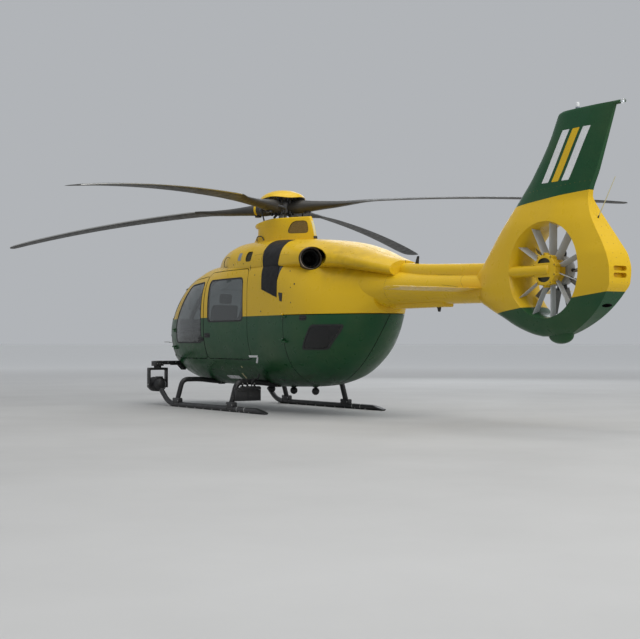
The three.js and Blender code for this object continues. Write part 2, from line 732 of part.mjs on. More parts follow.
const STABILISER = { x: -4690, z: 1640, halfSpan: 1325, chord: 450, thick: 52, taper: 0.86 };
function aerofoil(chord, thick, place) {
  const rows = [[0, 0], [0.03, 0.5], [0.12, 0.85], [0.3, 1], [0.55, 0.8], [0.8, 0.38], [1, 0.04]];
  const upper = rows.map(([along, part]) => [chord / 2 - along * chord, (part * thick) / 2]);
  const lower = upper.slice(1).reverse().map(([along, up]) => [along, -up]);
  return [...upper, ...lower].map(([along, up]) => place(along, up));
}

function stabiliser(side, obstacle) {
  const { x, z, halfSpan, chord, thick, taper } = STABILISER;
  const rings = [[60, 1], [halfSpan - 40, taper], [halfSpan, taper * 0.86]].map(([y, size]) => (
    aerofoil(chord * size, thick * size, (along, up) => [x + along, y, z + up - along * 0.03])));
  return onSide(loft(rings).subtract(obstacle), side);
}

// Landing gear
function skid(side, grow = 0) {
  const { track, radius, rearX, frontX, tipX, tipZ, bevelX } = SKID;
  const lift = radius + 0.1;
  const bend = 230;
  const path = [[rearX, track, lift], [frontX + bend, track, lift], [tipX, track, tipZ]];
  const bevel = sidePrism(outline([[bevelX, 2 * lift], [rearX - 60, 2 * lift], [rearX - 60, 12]], 0), 900, 1100);
  return onSide(pipe(path, radius + grow, 14, bend).subtract(bevel), side);
}

const CROSS = [[1550, 38], [-225, 40]];
const SHOE_TOP = 2 * SKID.radius;
function crossTube(x, radius) {
  const half = [[0, 295], [260, 295], [600, 430], [910, 430], [SKID.track, 110]];
  const left = half.slice(1).map(([y, z]) => [x, -y, z]).reverse();
  const right = half.map(([y, z]) => [x, y, z]);
  let tube = pipe([...left, ...right], radius, 12, 70);
  for (const side of [PORT, STARBOARD]) {
    const shoeY = side * SKID.track;
    const shoe = block([x - 110, x + 110], [shoeY - 38, shoeY + 38], [SHOE_TOP - 25, SHOE_TOP + 60]);
    const saddle = block([x - 55, x + 55], [side * 230 - 45, side * 230 + 45], [270, 460]);
    tube = joined(tube, shoe, saddle);
  }
  return tube.subtract(podGrown);
}

// Searchlight: arm from the belly, yoke that pans, lamp that tilts
const LIGHT = { x: 2450, y: 920, top: 712, under: 650, crossbar: 600, collar: 628, axisZ: 330,
  halfSpan: 165, drum: 118 };
function searchlightArm() {
  const { x, y, top, under, collar } = LIGHT;
  const arm = block([x - 50, x + 50], [200, y + 60], [under, top]);
  const head = block([x - 90, x + 90], [y - 75, y + 75], [collar, top - 8]);
  return joined(arm, head).subtract(podGrown);
}

function searchlightYoke() {
  const { x, y, crossbar, collar, axisZ, halfSpan } = LIGHT;
  const parts = [block([x - 48, x + 48], [y - halfSpan, y + halfSpan], [crossbar - 40, crossbar]),
    rod(60, 'z', [x, y, 0], crossbar - 10, collar - FIT, 20)];
  for (const side of [-1, 1]) {
    const [from, to] = [y + side * halfSpan, y + side * (halfSpan - 22)].sort((a, b) => a - b);
    parts.push(block([x - 48, x + 48], [from, to], [axisZ - 55, crossbar]));
  }
  return joined(...parts);
}

function searchlightLamp() {
  const { x, y, axisZ, halfSpan, drum } = LIGHT;
  const profile = [[0, -170], [60, -165], [drum - 15, -110], [drum, -60], [drum, 150], [drum - 12, 165], [0, 165]];
  const lamp = turned(profile, 'x', [x, y, axisZ], 20);
  const pins = rod(22, 'y', [x, y, axisZ], -(halfSpan - 22 - FIT), halfSpan - 22 - FIT, 12);
  return joined(lamp, pins);
}

function equipmentBox() {
  const box = block([-330, -180], [560, 850], [155, 340]);
  const rails = [-325, -210].map((x) => block([x, x + 25], [570, 835], [335, 366]));
  const hanger = block([-325, -272], [500, 600], [300, 640]);
  return joined(box, ...rails, hanger).subtract(podGrown);
}

// Main rotor, in its own frame: hub plane at z = 0, mast down the -Z axis to the gearbox
const GEARBOX_TOP = 2400;
const MAST = { radius: 62, sides: 14 };
const tilt = degrees(ROTOR.tiltDegrees);
MAST.foot = (GEARBOX_TOP + FIT + MAST.radius * Math.sin(tilt) - ROTOR.hubZ) / Math.cos(tilt);

function rotorHead() {
  const flats = new THREE.BoxGeometry(300, 300, 190);
  flats.rotateZ(degrees(ROTOR.firstBladeDegrees));
  flats.translate(0, 0, -30);
  const hub = rod(185, 'z', [0, 0, 0], -125, 65, 16).intersect(solidOf(flats));
  const mast = rod(MAST.radius, 'z', [0, 0, 0], MAST.foot, 150, MAST.sides);
  const collar = turned([[55, -300], [170, -290], [180, -250], [170, -215], [55, -205]], 'z', [0, 0, 0], 16);
  const links = [];
  for (let i = 0; i < ROTOR.blades; i += 1) {
    const link = geometryOf(pipe([[140, 46, -235], [212, 68, -235], [262, 160, -80]], 12, 4, 24, 6));
    link.rotateZ(degrees(ROTOR.firstBladeDegrees + (i * 360) / ROTOR.blades));
    links.push(solidOf(link));
  }
  return joined(hub, mast, collar, ...links);
}

function rotorCap() {
  const outer = [[0, 250], [90, 244], [180, 224], [260, 188], [315, 150], [345, 112]];
  const inner = [[333, 106], [300, 138], [180, 200], [0, 228]];
  const dome = turned([...outer, ...inner], 'z', [0, 0, 0], 22);
  const post = rod(90, 'z', [0, 0, 0], 66, 240, 16);
  return joined(dome, post).subtract(rod(MAST.radius + FIT, 'z', [0, 0, 0], -100, 150 + FIT, MAST.sides));
}

function rotorBlade(angle) {
  const rows = [
    // distance from the axis, width, thickness, squareness of the root
    [150 + FIT, 150, 150, 1], [300, 190, 160, 1], [520, 200, 130, 1], [850, 190, 100, 1],
    [1150, 200, 70, 0.6], [1400, 270, 44, 0.1], [1600, 289, 36, 0], [2600, 289, 35, 0],
    [3600, 289, 34, 0], [4600, 289, 32, 0], [5000, 250, 26, 0], [5200, 150, 14, 0],
  ];
  const { radius, droop, droopPower } = ROTOR;
  const cuffEnd = 300;
  const rings = rows.map(([r, width, thick, oval]) => {
    const bent = Math.max(r - cuffEnd, 0) / (radius - cuffEnd);
    const sag = -droop * bent ** droopPower - 25 * oval;
    const wing = aerofoil(width, thick, (along, up) => [along, up]);
    return wing.map(([along, up], i) => {
      const turn = (2 * Math.PI * i) / wing.length;
      const round = [(width / 2) * Math.cos(turn), (thick / 2) * Math.sin(turn)];
      const across = THREE.MathUtils.lerp(along, round[0], oval);
      const lift = THREE.MathUtils.lerp(up, round[1], oval);
      return [r, across, sag + lift];
    });
  });
  const geometry = geometryOf(loft(rings));
  geometry.rotateZ(degrees(angle));
  return solidOf(geometry);
}

function buildFuselage() {
  const shell = fixedShell();
  addNode(group, 'belly_shell', bellyShell(shell), 'green');
  addNode(group, 'cabin_shell', upperShell(shell), 'yellow');
  addNode(group, 'cabin_floor', cabinFloor(), 'trim');
  addNode(group, 'instrument_panel', instrumentPanel(), 'black');
  addNode(group, 'power_pack', powerPack(), 'steel');
  const frontDoor = door(SIDE_CUTS.frontDoor, SIDE_CUTS.frontWindow, 90, 80);
  const panels = [
    // name, solid, colour
    ['front_door', frontDoor.add(doorKnuckles(HINGE.front)), 'yellow'],
    ['front_door_glass', pane(SIDE_CUTS.frontWindow, 80), 'glass'],
    ['sliding_door', door(SIDE_CUTS.sideDoor, SIDE_CUTS.sideWindow, 90, 90), 'yellow'],
    ['sliding_door_glass', pane(SIDE_CUTS.sideWindow, 90), 'glass'],
    ['quarter_window', pane(SIDE_CUTS.rearWindow, 50, 300), 'glass'],
    ['windscreen', pane(WINDSCREEN, 60, 25 + FIT), 'glass'],
    ['chin_window', pane(CHIN_WINDOW, 60, 90 + FIT), 'glass'],
    ['tail_door', tailDoor().add(doorKnuckles(HINGE.rear)), 'green'],
    ['tail_door_glass', pane(SIDE_CUTS.tailDoorWindow, 60), 'glass'],
  ];
  for (const [name, solid, colour] of panels) {
    addNode(group, `${name}_left`, solid, colour);
    addNode(group, `${name}_right`, mirrored(solid), colour);
  }
  addNode(group, 'pilot_seat_right', seat(1500, -380, 480), 'fabric');
  addNode(group, 'pilot_seat_left', seat(1500, 380, 480), 'fabric');
  addNode(group, 'cabin_seats', seat(-300, 0, 900), 'fabric');
}

function buildCowling() {
  const shell = cowlShell();
  const front = block([FIREWALL_X + 2, 4000], [-FAR, FAR], [1000, 4000]);
  const rear = block([-5000, FIREWALL_X - 2], [2, FAR], [1000, 4000]);
  addNode(group, 'transmission_cowl', shell.intersect(front), 'yellow');
  const left = shell.intersect(rear);
  addNode(group, 'engine_cowl_left', left, 'yellow');
  addNode(group, 'engine_cowl_right', mirrored(left), 'yellow');
  addNode(group, 'mast_fairing', mastFairing(), 'yellow');
  addNode(group, 'exhaust_left', exhaust(PORT), 'steel');
  addNode(group, 'exhaust_right', exhaust(STARBOARD), 'steel');
}

function buildTail() {
  const tail = tailBody();
  const tailGrown = tailBody(FIT);
  const keel = sidePrism(outline(BOOM_KEEL, 20), -85, 85);
  const boom = boomRoot.add(keel).subtract(body(BOOM, SKIN)).subtract(podGrown).subtract(tailGrown);
  addNode(group, 'tail_boom', boom, 'yellow');
  const round = joined(body(BOOM, -FIT), tailGrown);
  const cover = body(SHAFT_COVER).subtract(round).subtract(cowlGrown).subtract(podGrown);
  addNode(group, 'shaft_cover', cover, 'yellow');
  addNode(group, 'tail_shroud', tailShroud(tail), 'yellow');
  addNode(group, 'vertical_fin', verticalFin(tail), 'green');
  const ductAir = rod(FAN.ductRadius - FIT, 'y', [FAN.x, 0, FAN.z], -150, 222, DUCT_SIDES);
  addNode(group, 'tail_stator', tailStator(ductAir), 'grey');
  addNode(group, 'tail_fan', tailFan(), 'steel');
  addNode(group, 'stabiliser_left', stabiliser(PORT, round), 'yellow');
  addNode(group, 'stabiliser_right', stabiliser(STARBOARD, round), 'yellow');
}

function buildGear() {
  addNode(group, 'skid_left', skid(PORT), 'black');
  addNode(group, 'skid_right', skid(STARBOARD), 'black');
  const skids = joined(skid(PORT, FIT), skid(STARBOARD, FIT));
  CROSS.forEach(([x, radius], i) => {
    const tube = crossTube(x, radius).subtract(skids);
    addNode(group, i === 0 ? 'cross_tube_front' : 'cross_tube_rear', tube, 'black');
  });
  addNode(group, 'searchlight_arm', searchlightArm(), 'black');
  addNode(group, 'searchlight_yoke', searchlightYoke(), 'black');
  addNode(group, 'searchlight_lamp', searchlightLamp(), 'black');
  addNode(group, 'equipment_box', equipmentBox(), 'black');
}

function buildRotor() {
  const rotor = new THREE.Group();
  rotor.position.set(0, 0, ROTOR.hubZ);
  rotor.rotation.y = degrees(ROTOR.tiltDegrees);
  group.add(rotor);
  addNode(rotor, 'rotor_head', rotorHead(), 'grey');
  addNode(rotor, 'rotor_cap', rotorCap(), 'yellow');
  for (let i = 0; i < ROTOR.blades; i += 1) {
    const angle = ROTOR.firstBladeDegrees + (i * 360) / ROTOR.blades;
    addNode(rotor, `rotor_blade_${i + 1}`, rotorBlade(angle), 'blade');
  }
}

buildFuselage();
buildCowling();
buildTail();
buildGear();
buildRotor();

group.updateMatrixWorld(true);
const overall = new THREE.Box3().setFromObject(group, true);
group.position.x = -(overall.min.x + overall.max.x) / 2;

export default group;
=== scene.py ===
import json
import math

import bmesh
import bpy
import numpy as np
from mathutils import Matrix, Vector
from mathutils.bvhtree import BVHTree


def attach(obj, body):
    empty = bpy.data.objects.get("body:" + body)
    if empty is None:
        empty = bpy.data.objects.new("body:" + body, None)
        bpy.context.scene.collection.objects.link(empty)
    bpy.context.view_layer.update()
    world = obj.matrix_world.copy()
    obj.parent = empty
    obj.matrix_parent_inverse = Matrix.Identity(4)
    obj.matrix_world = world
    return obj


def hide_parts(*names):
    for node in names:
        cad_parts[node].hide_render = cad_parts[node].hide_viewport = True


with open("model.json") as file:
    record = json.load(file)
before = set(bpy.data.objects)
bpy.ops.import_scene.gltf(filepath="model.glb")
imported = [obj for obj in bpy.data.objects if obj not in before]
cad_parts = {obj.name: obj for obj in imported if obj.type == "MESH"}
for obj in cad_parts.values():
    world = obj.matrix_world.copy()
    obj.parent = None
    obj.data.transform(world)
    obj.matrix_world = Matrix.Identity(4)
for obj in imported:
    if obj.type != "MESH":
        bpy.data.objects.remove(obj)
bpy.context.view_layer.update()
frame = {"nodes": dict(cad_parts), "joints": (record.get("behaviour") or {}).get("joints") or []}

SCENE = bpy.context.scene
TAU = 2 * math.pi
MAST_X = next(joint["pos_m"][0] for joint in frame["joints"] if joint["name"] == "main_rotor_spin")
SIDES = 96                      # points round a fuselage section
PORT, STARBOARD = 1, -1
BOTH = (PORT, STARBOARD)
SIDE_NAME = {PORT: "left", STARBOARD: "right"}
MIRROR = np.array([1, -1, 1])

WALL = 0.04
DOOR_GAP = 0.01
DOOR_SILL = 0.76
DECK_SPLIT = 0.74
LIVERY_LINE = 1.39
# The tail's green lies between the low edge's level and the high edge, in x and z
TAIL_LOW_EDGE, TAIL_LOW_LEVEL = ((-5.0, 1.325), (-6.94, 1.545)), 1.545
TAIL_HIGH_EDGE = ((-5.345, 2.555), (-6.58, 2.663))
TAIL_DOOR_X, TAIL_DOOR_TOP = -1.3, 1.39
FAR = 3.0                       # outside the fuselage on every side
INWARDS = (0, -1, 0)            # the view from the port side

# x, half width, bottom, widest, top, lower power, upper power
POD = [
    (3.15, 0.03, 1.075, 1.132, 1.19, 2.0, 2.0),
    (3.14, 0.06, 1.04, 1.13, 1.23, 2.0, 2.0),
    (3.095, 0.21, 0.87, 1.14, 1.39, 2.1, 2.0),
    (2.98, 0.37, 0.69, 1.15, 1.545, 2.2, 2.1),
    (2.76, 0.52, 0.555, 1.16, 1.735, 2.3, 2.3),
    (2.4, 0.645, 0.445, 1.18, 1.965, 2.3, 2.5),
    (1.95, 0.73, 0.375, 1.22, 2.14, 2.3, 2.6),
    (1.4, 0.772, 0.348, 1.26, 2.232, 2.3, 2.9),
    (0.8, 0.778, 0.346, 1.27, 2.238, 2.3, 4.2),
    (0.2, 0.78, 0.345, 1.28, 2.24, 2.3, 6.0),
    (-0.9, 0.778, 0.365, 1.28, 2.24, 2.3, 6.0),
    (-1.3, 0.77, 0.39, 1.28, 2.24, 2.3, 4.2),
    (-1.7, 0.735, 0.465, 1.28, 2.22, 2.3, 2.9),
    (-2.05, 0.65, 0.64, 1.3, 2.18, 2.3, 2.5),
    (-2.35, 0.52, 0.88, 1.35, 2.12, 2.2, 2.4),
    (-2.82, 0.28, 1.4, 1.6, 1.99, 2.0, 2.2),
]
COWL = [
    (1.4, 0.26, 2.05, 2.15, 2.27, 2.2, 2.2),
    (1.2, 0.42, 2.0, 2.15, 2.375, 2.2, 2.3),
    (0.98, 0.53, 2.0, 2.145, 2.465, 2.2, 2.4),
    (0.72, 0.615, 2.0, 2.135, 2.52, 2.2, 2.5),
    (0.4, 0.69, 2.0, 2.125, 2.545, 2.2, 2.6),
    (-0.3, 0.728, 2.0, 2.12, 2.53, 2.2, 2.7),
    (-1.1, 0.722, 2.0, 2.12, 2.49, 2.2, 2.7),
    (-1.7, 0.68, 2.0, 2.13, 2.43, 2.2, 2.6),
    (-2.2, 0.56, 1.98, 2.11, 2.33, 2.2, 2.4),
    (-2.7, 0.4, 1.92, 2.04, 2.19, 2.2, 2.2),
    (-3.15, 0.26, 1.85, 1.95, 2.08, 2.0, 2.0),
]
BOOM = [
    (-2.1, 0.42, 1.38, 1.72, 2.08, 2.2, 2.2),
    (-2.6, 0.36, 1.45, 1.73, 2.04, 2.1, 2.1),
    (-3.1, 0.27, 1.49, 1.71, 1.95, 2.0, 2.0),
    (-3.7, 0.215, 1.492, 1.69, 1.885, 2.0, 2.0),
    (-4.4, 0.19, 1.482, 1.665, 1.85, 2.0, 2.0),
    (-5.1, 0.17, 1.475, 1.65, 1.825, 2.0, 2.0),
]
SHAFT_COVER = [
    (-2.7, 0.12, 1.7, 1.96, 2.11, 2.0, 2.4),
    (-3.2, 0.1, 1.7, 1.9, 2.04, 2.0, 2.4),
    (-3.77, 0.095, 1.7, 1.86, 2.0, 2.0, 2.4),
    (-5.05, 0.09, 1.65, 1.81, 1.945, 2.0, 2.4),
]
# z, leading edge x, trailing edge x, half thickness, trailing half width
TAIL = [
    (1.07, -5.8, -6.18, 0.045, 0.015),
    (1.094, -5.672, -6.275, 0.085, 0.03),
    (1.18, -5.405, -6.475, 0.15, 0.065),
    (1.29, -5.164, -6.665, 0.19, 0.09),
    (1.4, -4.915, -6.8, 0.208, 0.112),
    (1.52, -4.7, -6.908, 0.222, 0.135),
    (1.64, -4.64, -6.985, 0.225, 0.155),
    (1.78, -4.655, -6.99, 0.225, 0.164),
    (1.93, -4.795, -6.95, 0.225, 0.162),
    (2.08, -4.925, -6.856, 0.222, 0.14),
    (2.31, -5.127, -6.69, 0.205, 0.111),
    (2.46, -5.262, -6.6, 0.17, 0.075),
    (2.6, -5.385, -6.549, 0.13, 0.037),
    (2.87, -5.625, -6.664, 0.092, 0.028),
    (3.27, -5.915, -6.823, 0.074, 0.02),
    (3.48, -6.02, -6.905, 0.055, 0.016),
    (3.545, -6.055, -6.93, 0.048, 0.014),
    (3.568, -6.11, -6.94, 0.04, 0.012),
]
BOOM_KEEL = [(-4.06, 1.6), (-4.045, 1.45), (-2.98, 1.45), (-2.7, 1.6)]
# part of the chord, part of the half thickness, part of the trailing half width
TAIL_PROFILE = [
    (0.0, 0.0, 0.0), (0.012, 0.28, 0.0), (0.05, 0.55, 0.0), (0.12, 0.8, 0.0),
    (0.24, 0.97, 0.0), (0.4, 1.0, 0.0), (0.62, 1.0, 0.0), (0.84, 0.55, 0.45),
    (1.0, 0.0, 1.0),
]
# z, front x, rear x, half width, power, dip of the front
FAIRING = [
    (2.43, 0.5, -0.96, 0.365, 3.2, 0.0),
    (2.54, 0.46, -0.945, 0.352, 3.2, 0.0),
    (2.6, 0.37, -0.925, 0.347, 3.4, 0.0),
    (2.64, 0.315, -0.91, 0.345, 3.6, 0.0),
    (2.715, 0.31, -0.88, 0.345, 3.6, 0.0),
    (2.748, 0.4, -0.865, 0.346, 3.4, 0.015),
    (2.795, 0.44, -0.835, 0.345, 3.4, 0.03),
    (2.835, 0.42, -0.812, 0.34, 3.4, 0.055),
    (2.85, 0.36, -0.8, 0.32, 3.4, 0.062),
]
FAIRING_SHAPE = {"widest": -0.1, "tail_part": 0.15, "taper_power": 1.2, "dip_from": -0.2, "dip_length": 0.64}
INTAKE = [(-0.49, 2.61), (-0.56, 2.792), (-0.79, 2.792), (-0.85, 2.6)]

# Doors and windows in the pod's side: corner radius, inner y, outline in x and z
OPENINGS = {
    "front_door": (0.09, 0.06, [(2.33, DOOR_SILL), (2.33, 1.33), (1.83, 2.0), (1.11, 2.04), (1.11, DOOR_SILL)]),
    "sliding_door": (0.09, 0.06, [(1.1, DOOR_SILL), (1.1, 2.09), (-0.29, 2.09), (-0.29, DOOR_SILL)]),
    "front_door_glass": (0.08, 0.06, [(2.23, 1.01), (2.24, 1.32), (1.8, 1.915), (1.2, 1.95), (1.2, 1.01)]),
    "sliding_door_glass": (0.09, 0.06, [(0.96, 1.33), (0.96, 1.96), (-0.15, 1.96), (-0.15, 1.33)]),
    "tail_door_glass": (0.06, 0.06, [(-1.69, 0.915), (-2.1, 0.915), (-2.345, 1.16), (-2.4, 1.24), (-1.91, 1.24)]),
    "quarter_window": (0.05, 0.3, [(-0.7, 1.79), (-1.08, 1.65), (-1.16, 2.0), (-1.2, 2.13), (-0.8, 2.13),
                                   (-0.715, 2.0)]),
    "windscreen": (0.06, 0.025, [(3.4, 1.4), (2.47, 1.4), (1.9, 2.06), (1.82, 2.4), (3.4, 2.4)]),
    "chin_window": (0.06, 0.09, [(2.5, 0.8), (2.62, 1.13), (3.01, 1.13), (2.96, 0.8)]),
}
# Edges of the black band, from the quarter window up over the cowling's shoulder: x, y, z
BAND_FRONT = [
    (-0.712, 0.776, 1.768), (-0.698, 0.768, 1.904), (-0.676, 0.739, 2.051), (-0.662, 0.724, 2.166),
    (-0.645, 0.7, 2.268), (-0.612, 0.634, 2.373), (-0.556, 0.537, 2.44), (-0.48, 0.412, 2.487),
    (-0.45, 0.33, 2.505), (-0.47, 0.26, 2.513),
]
BAND_REAR = [
    (-1.141, 0.772, 1.641), (-1.135, 0.764, 1.816), (-1.118, 0.734, 2.001), (-1.095, 0.721, 2.115),
    (-1.118, 0.714, 2.212), (-1.11, 0.676, 2.306), (-1.078, 0.612, 2.374), (-1.022, 0.52, 2.427),
    (-0.961, 0.425, 2.461), (-0.93, 0.34, 2.482),
]

ROTOR = {"hub_z": 3.06, "tilt": 1.74, "radius": 5.2, "droop": 0.327, "droop_power": 2.2,
         "first": 31.65, "blades": 4}
FAN = {"x": -6.014, "z": 1.808, "radius": 0.505, "mouth": 0.056, "tip_gap": 0.01,
       "places": (0, 31, 72, 105, 144, 180, 211, 252, 285, 324)}
EXHAUST = {"x": -1.56, "y": 0.5, "z": 2.165, "radius": 0.152, "room": 0.008, "angle": 24}
LIGHT = {"x": 2.45, "y": 0.92, "axis_z": 0.33, "half_span": 0.165}
SKID = {"track": 1.0, "radius": 0.04, "rear": -1.24, "front": 1.62, "bend": 0.23, "tip": (2.13, 0.245),
        "bevel": -0.95}
FIREWALL_X = -0.62


# Forms: arrays of points with lists of faces

def loft(rings):
    """A closed form through rings that have the same number of points."""
    count, total = len(rings[0]), sum(len(ring) for ring in rings)
    faces = quads(count, total // count - 1, total)
    faces += [tuple(range(count - 1, -1, -1)), tuple(range(total - count, total))]
    return np.vstack(rings).astype(float), faces


def hoop(rings):
    """A form whose last ring joins its first, like a tyre."""
    count, total = len(rings[0]), sum(len(ring) for ring in rings)
    return np.vstack(rings).astype(float), quads(count, total // count, total)


def quads(count, rows, total):
    """Faces between rings of `count` points, which wrap round to the first ring after `total`."""
    faces = []
    for start in range(0, rows * count, count):
        for j in range(count):
            a, b = start + j, start + (j + 1) % count
            faces.append((a, b, (b + count) % total, (a + count) % total))
    return faces


AXIS_ORDER = {"z": [0, 1, 2], "x": [2, 0, 1], "y": [1, 2, 0]}


def lathe(profile, axis="z", centre=(0, 0, 0), sides=48):
    """A turned form. A profile that starts off the axis closes on itself."""
    angle = np.arange(sides) * TAU / sides
    rings = []
    for radius, along in profile:
        reach = max(radius, 1e-4)
        rings.append(np.column_stack([reach * np.cos(angle), reach * np.sin(angle), np.full(sides, along)]))
    verts, faces = loft(rings) if profile[0][0] == 0 else hoop(rings)
    return verts[:, AXIS_ORDER[axis]] + np.array(centre), faces


def rod(radius, axis, centre, low, high, sides=24, chamfer=0.0):
    profile = [(0, low), (radius - chamfer, low), (radius, low + chamfer),
               (radius, high - chamfer), (radius - chamfer, high), (0, high)]
    if chamfer == 0:
        profile = [(0, low), (radius, low), (radius, high), (0, high)]
    return lathe(profile, axis, centre, sides)


def tube(path, radius, sides=12, flat=1.0):
    """A round or flattened bar along a path; radius may be one number or one for each point."""
    path = np.asarray(path, float)
    heading = np.gradient(path, axis=0)
    heading /= np.linalg.norm(heading, axis=1)[:, None]
    reach = np.broadcast_to(radius, len(path))
    up = np.array([0.0, 0.0, 1.0]) if abs(heading[0][2]) < 0.9 else np.array([0.0, 1.0, 0.0])
    angle = np.arange(sides) * TAU / sides
    rings = []
    for point, along, size in zip(path, heading, reach):
        up = up - along * up.dot(along)
        up /= np.linalg.norm(up)
        side = np.cross(up, along)
        rings.append(point + size * (np.outer(np.cos(angle), side) + flat * np.outer(np.sin(angle), up)))
    return loft(rings)


def eased(table, steps):
    """The table's rows with smooth ones between them, which never pass their neighbours."""
    rows = np.array(table, float)
    rows = rows[np.argsort(rows[:, 0])]
    key, values = rows[:, 0], rows[:, 1:]
    span = np.diff(key)[:, None]
    slope = np.diff(values, axis=0) / span
    product = slope[:-1] * slope[1:]
    total = np.where(product > 0, slope[:-1] + slope[1:], 1.0)
    middle = np.where(product > 0, 2 * product / total, 0.0)
    tangent = np.vstack([slope[:1], middle, slope[-1:]])
    result = []
    for i in range(len(rows) - 1):
        for t in np.arange(steps) / steps:
            low = (1 + 2 * t) * (1 - t) ** 2 * values[i] + t * t * (3 - 2 * t) * values[i + 1]
            bend = t * (1 - t) ** 2 * tangent[i] - t * t * (1 - t) * tangent[i + 1]
            result.append([key[i] + t * span[i, 0], *(low + bend * span[i])])
    result.append([key[-1], *values[-1]])
    return np.array(result)


def through(points, steps=8):
    """A smooth path through points."""
    points = np.asarray(points, float)
    chain = np.vstack([2 * points[0] - points[1], points, 2 * points[-1] - points[-2]])
    path = []
    for i in range(1, len(chain) - 2):
        before, start, end, after = chain[i - 1:i + 3]
        for t in np.arange(steps) / steps:
            path.append(0.5 * (2 * start + (end - before) * t + (2 * before - 5 * start + 4 * end - after) * t ** 2
                               + (3 * start - before - 3 * end + after) * t ** 3))
    path.append(points[-1])
    return np.array(path)


def bent(points, bend, steps=8):
    """A path of straight runs whose corners are rounded over `bend` each way."""
    points = [np.array(point, float) for point in points]
    path = [points[0]]
    for before, corner, after in zip(points, points[1:], points[2:]):
        into = corner + (before - corner) * min(bend / np.linalg.norm(before - corner), 0.499)
        out = corner + (after - corner) * min(bend / np.linalg.norm(after - corner), 0.499)
        for t in np.arange(steps + 1) / steps:
            path.append((1 - t) ** 2 * into + 2 * t * (1 - t) * corner + t * t * out)
    path.append(points[-1])
    return np.array(path)


def rounded(points, radius=0.0, grow=0.0, steps=6):
    """An outline with each side moved outwards by `grow` and its corners rounded."""
    points = np.array(points, float)
    count = len(points)
    following = np.roll(points, -1, axis=0)
    turn = np.sign(np.sum(points[:, 0] * following[:, 1] - following[:, 0] * points[:, 1]))
    run = following - points
    normal = np.column_stack([run[:, 1], -run[:, 0]]) * turn / np.linalg.norm(run, axis=1)[:, None]
    offset = np.sum(normal * points, axis=1) + grow
    corners = [np.linalg.solve([normal[i - 1], normal[i]], [offset[i - 1], offset[i]]) for i in range(count)]
    outline = []
    for i in range(count):
        corner, before, after = corners[i], corners[i - 1], corners[(i + 1) % count]
        if radius <= 0:
            outline.append(corner)
            continue
        ends = []
        for other in (before, after):
            length = np.linalg.norm(other - corner)
            ends.append(corner + (other - corner) * min(radius, length * 0.45) / length)
        for t in np.arange(steps + 1) / steps:
            outline.append((1 - t) ** 2 * ends[0] + 2 * t * (1 - t) * corner + t * t * ends[1])
    return np.array(outline)


def prism(outline, plane, low, high):
    """A form between two values of the axis that `plane` leaves out."""
    outline = np.asarray(outline, float)
    place = {"xz": [0, 2, 1], "xy": [0, 1, 2], "yz": [2, 0, 1]}[plane]
    rings = [np.column_stack([outline, np.full(len(outline), value)])[:, place] for value in (low, high)]
    return loft(rings)


def oblong(x, y):
    """The corners of a rectangle between two values of each axis."""
    return [(x[0], y[0]), (x[1], y[0]), (x[1], y[1]), (x[0], y[1])]


def about(middle, half):
    return middle - half, middle + half


def block(x, y, z):
    return prism(oblong(x, y), "xy", *z)


def ball(centre, size, sides=32, rows=16):
    """`size` is one radius, or one along each axis."""
    angle = np.linspace(-math.pi / 2, math.pi / 2, rows + 1)
    profile = [(0, -1.0)] + [(math.cos(a), math.sin(a)) for a in angle[1:-1]] + [(0, 1.0)]
    verts, faces = lathe(profile, sides=sides)
    return verts * size + np.array(centre), faces


def joined(*forms):
    verts, faces, start = [], [], 0
    for points, polygons in forms:
        verts.append(points)
        faces.extend(tuple(i + start for i in face) for face in polygons)
        start += len(points)
    return np.vstack(verts), faces


def mirrored(form):
    return form[0] * MIRROR, [face[::-1] for face in form[1]]


def on_side(form, side):
    return form if side == PORT else mirrored(form)


def moved(form, matrix):
    matrix = np.array(matrix, float)
    return form[0] @ matrix[:3, :3].T + matrix[:3, 3], form[1]


def placed(form, x=0.0, y=0.0, z=0.0):
    return form[0] + np.array([x, y, z]), form[1]


def turned(form, degrees, axis):
    return moved(form, Matrix.Rotation(math.radians(degrees), 4, axis))


def around(form, count, first=0.0):
    """Evenly spaced copies round the Z axis."""
    return [turned(form, first + i * 360 / count, "Z") for i in range(count)]


def oval_ring(row, inset, x):
    _, half, bottom, widest, top, low_power, high_power = row
    angle = (np.arange(SIDES) + 0.5) * TAU / SIDES
    cos, sin = np.cos(angle), np.sin(angle)
    power = np.where(sin > 0, high_power, low_power)
    height = np.where(sin > 0, max(top - inset - widest, 0.008), max(widest - bottom - inset, 0.008))
    y = max(half - inset, 0.008) * np.sign(cos) * np.abs(cos) ** (2 / power)
    z = widest + height * np.sign(sin) * np.abs(sin) ** (2 / power)
    return np.column_stack([np.full(SIDES, x), y, z])


def body(table, inset=0.0):
    """A fuselage body, moved inwards by `inset`, or outwards when negative."""
    rows = eased(table, 6)
    low, high = rows[0, 0], rows[-1, 0]
    middle = (low + high) / 2
    shrink = 1 - 2 * inset / (high - low)
    return loft([oval_ring(row, inset, middle + (row[0] - middle) * shrink) for row in rows])


def opening(name, side, grow=0.0):
    """The room of a door or a window, wider by `grow` all round."""
    radius, inner, outline = OPENINGS[name]
    return on_side(prism(rounded(outline, radius, grow), "xz", inner - grow, FAR), side)


# Objects: made from forms, cut, and placed as pieces

def linked(obj):
    SCENE.collection.objects.link(obj)
    return obj


def mesh_object(name, form, slots):
    mesh = bpy.data.meshes.new(name)
    mesh.from_pydata([tuple(v) for v in form[0]], [], form[1])
    mesh.polygons.foreach_set("material_index", slots)
    mesh.update()
    return linked(bpy.data.objects.new(name, mesh))


def solid(form, slot=0):
    obj = mesh_object("solid", form, [slot] * len(form[1]))
    if signed_volume(obj) < 0:
        obj.data.flip_normals()
    for _ in range(3):
        obj.data.materials.append(None)
    return obj


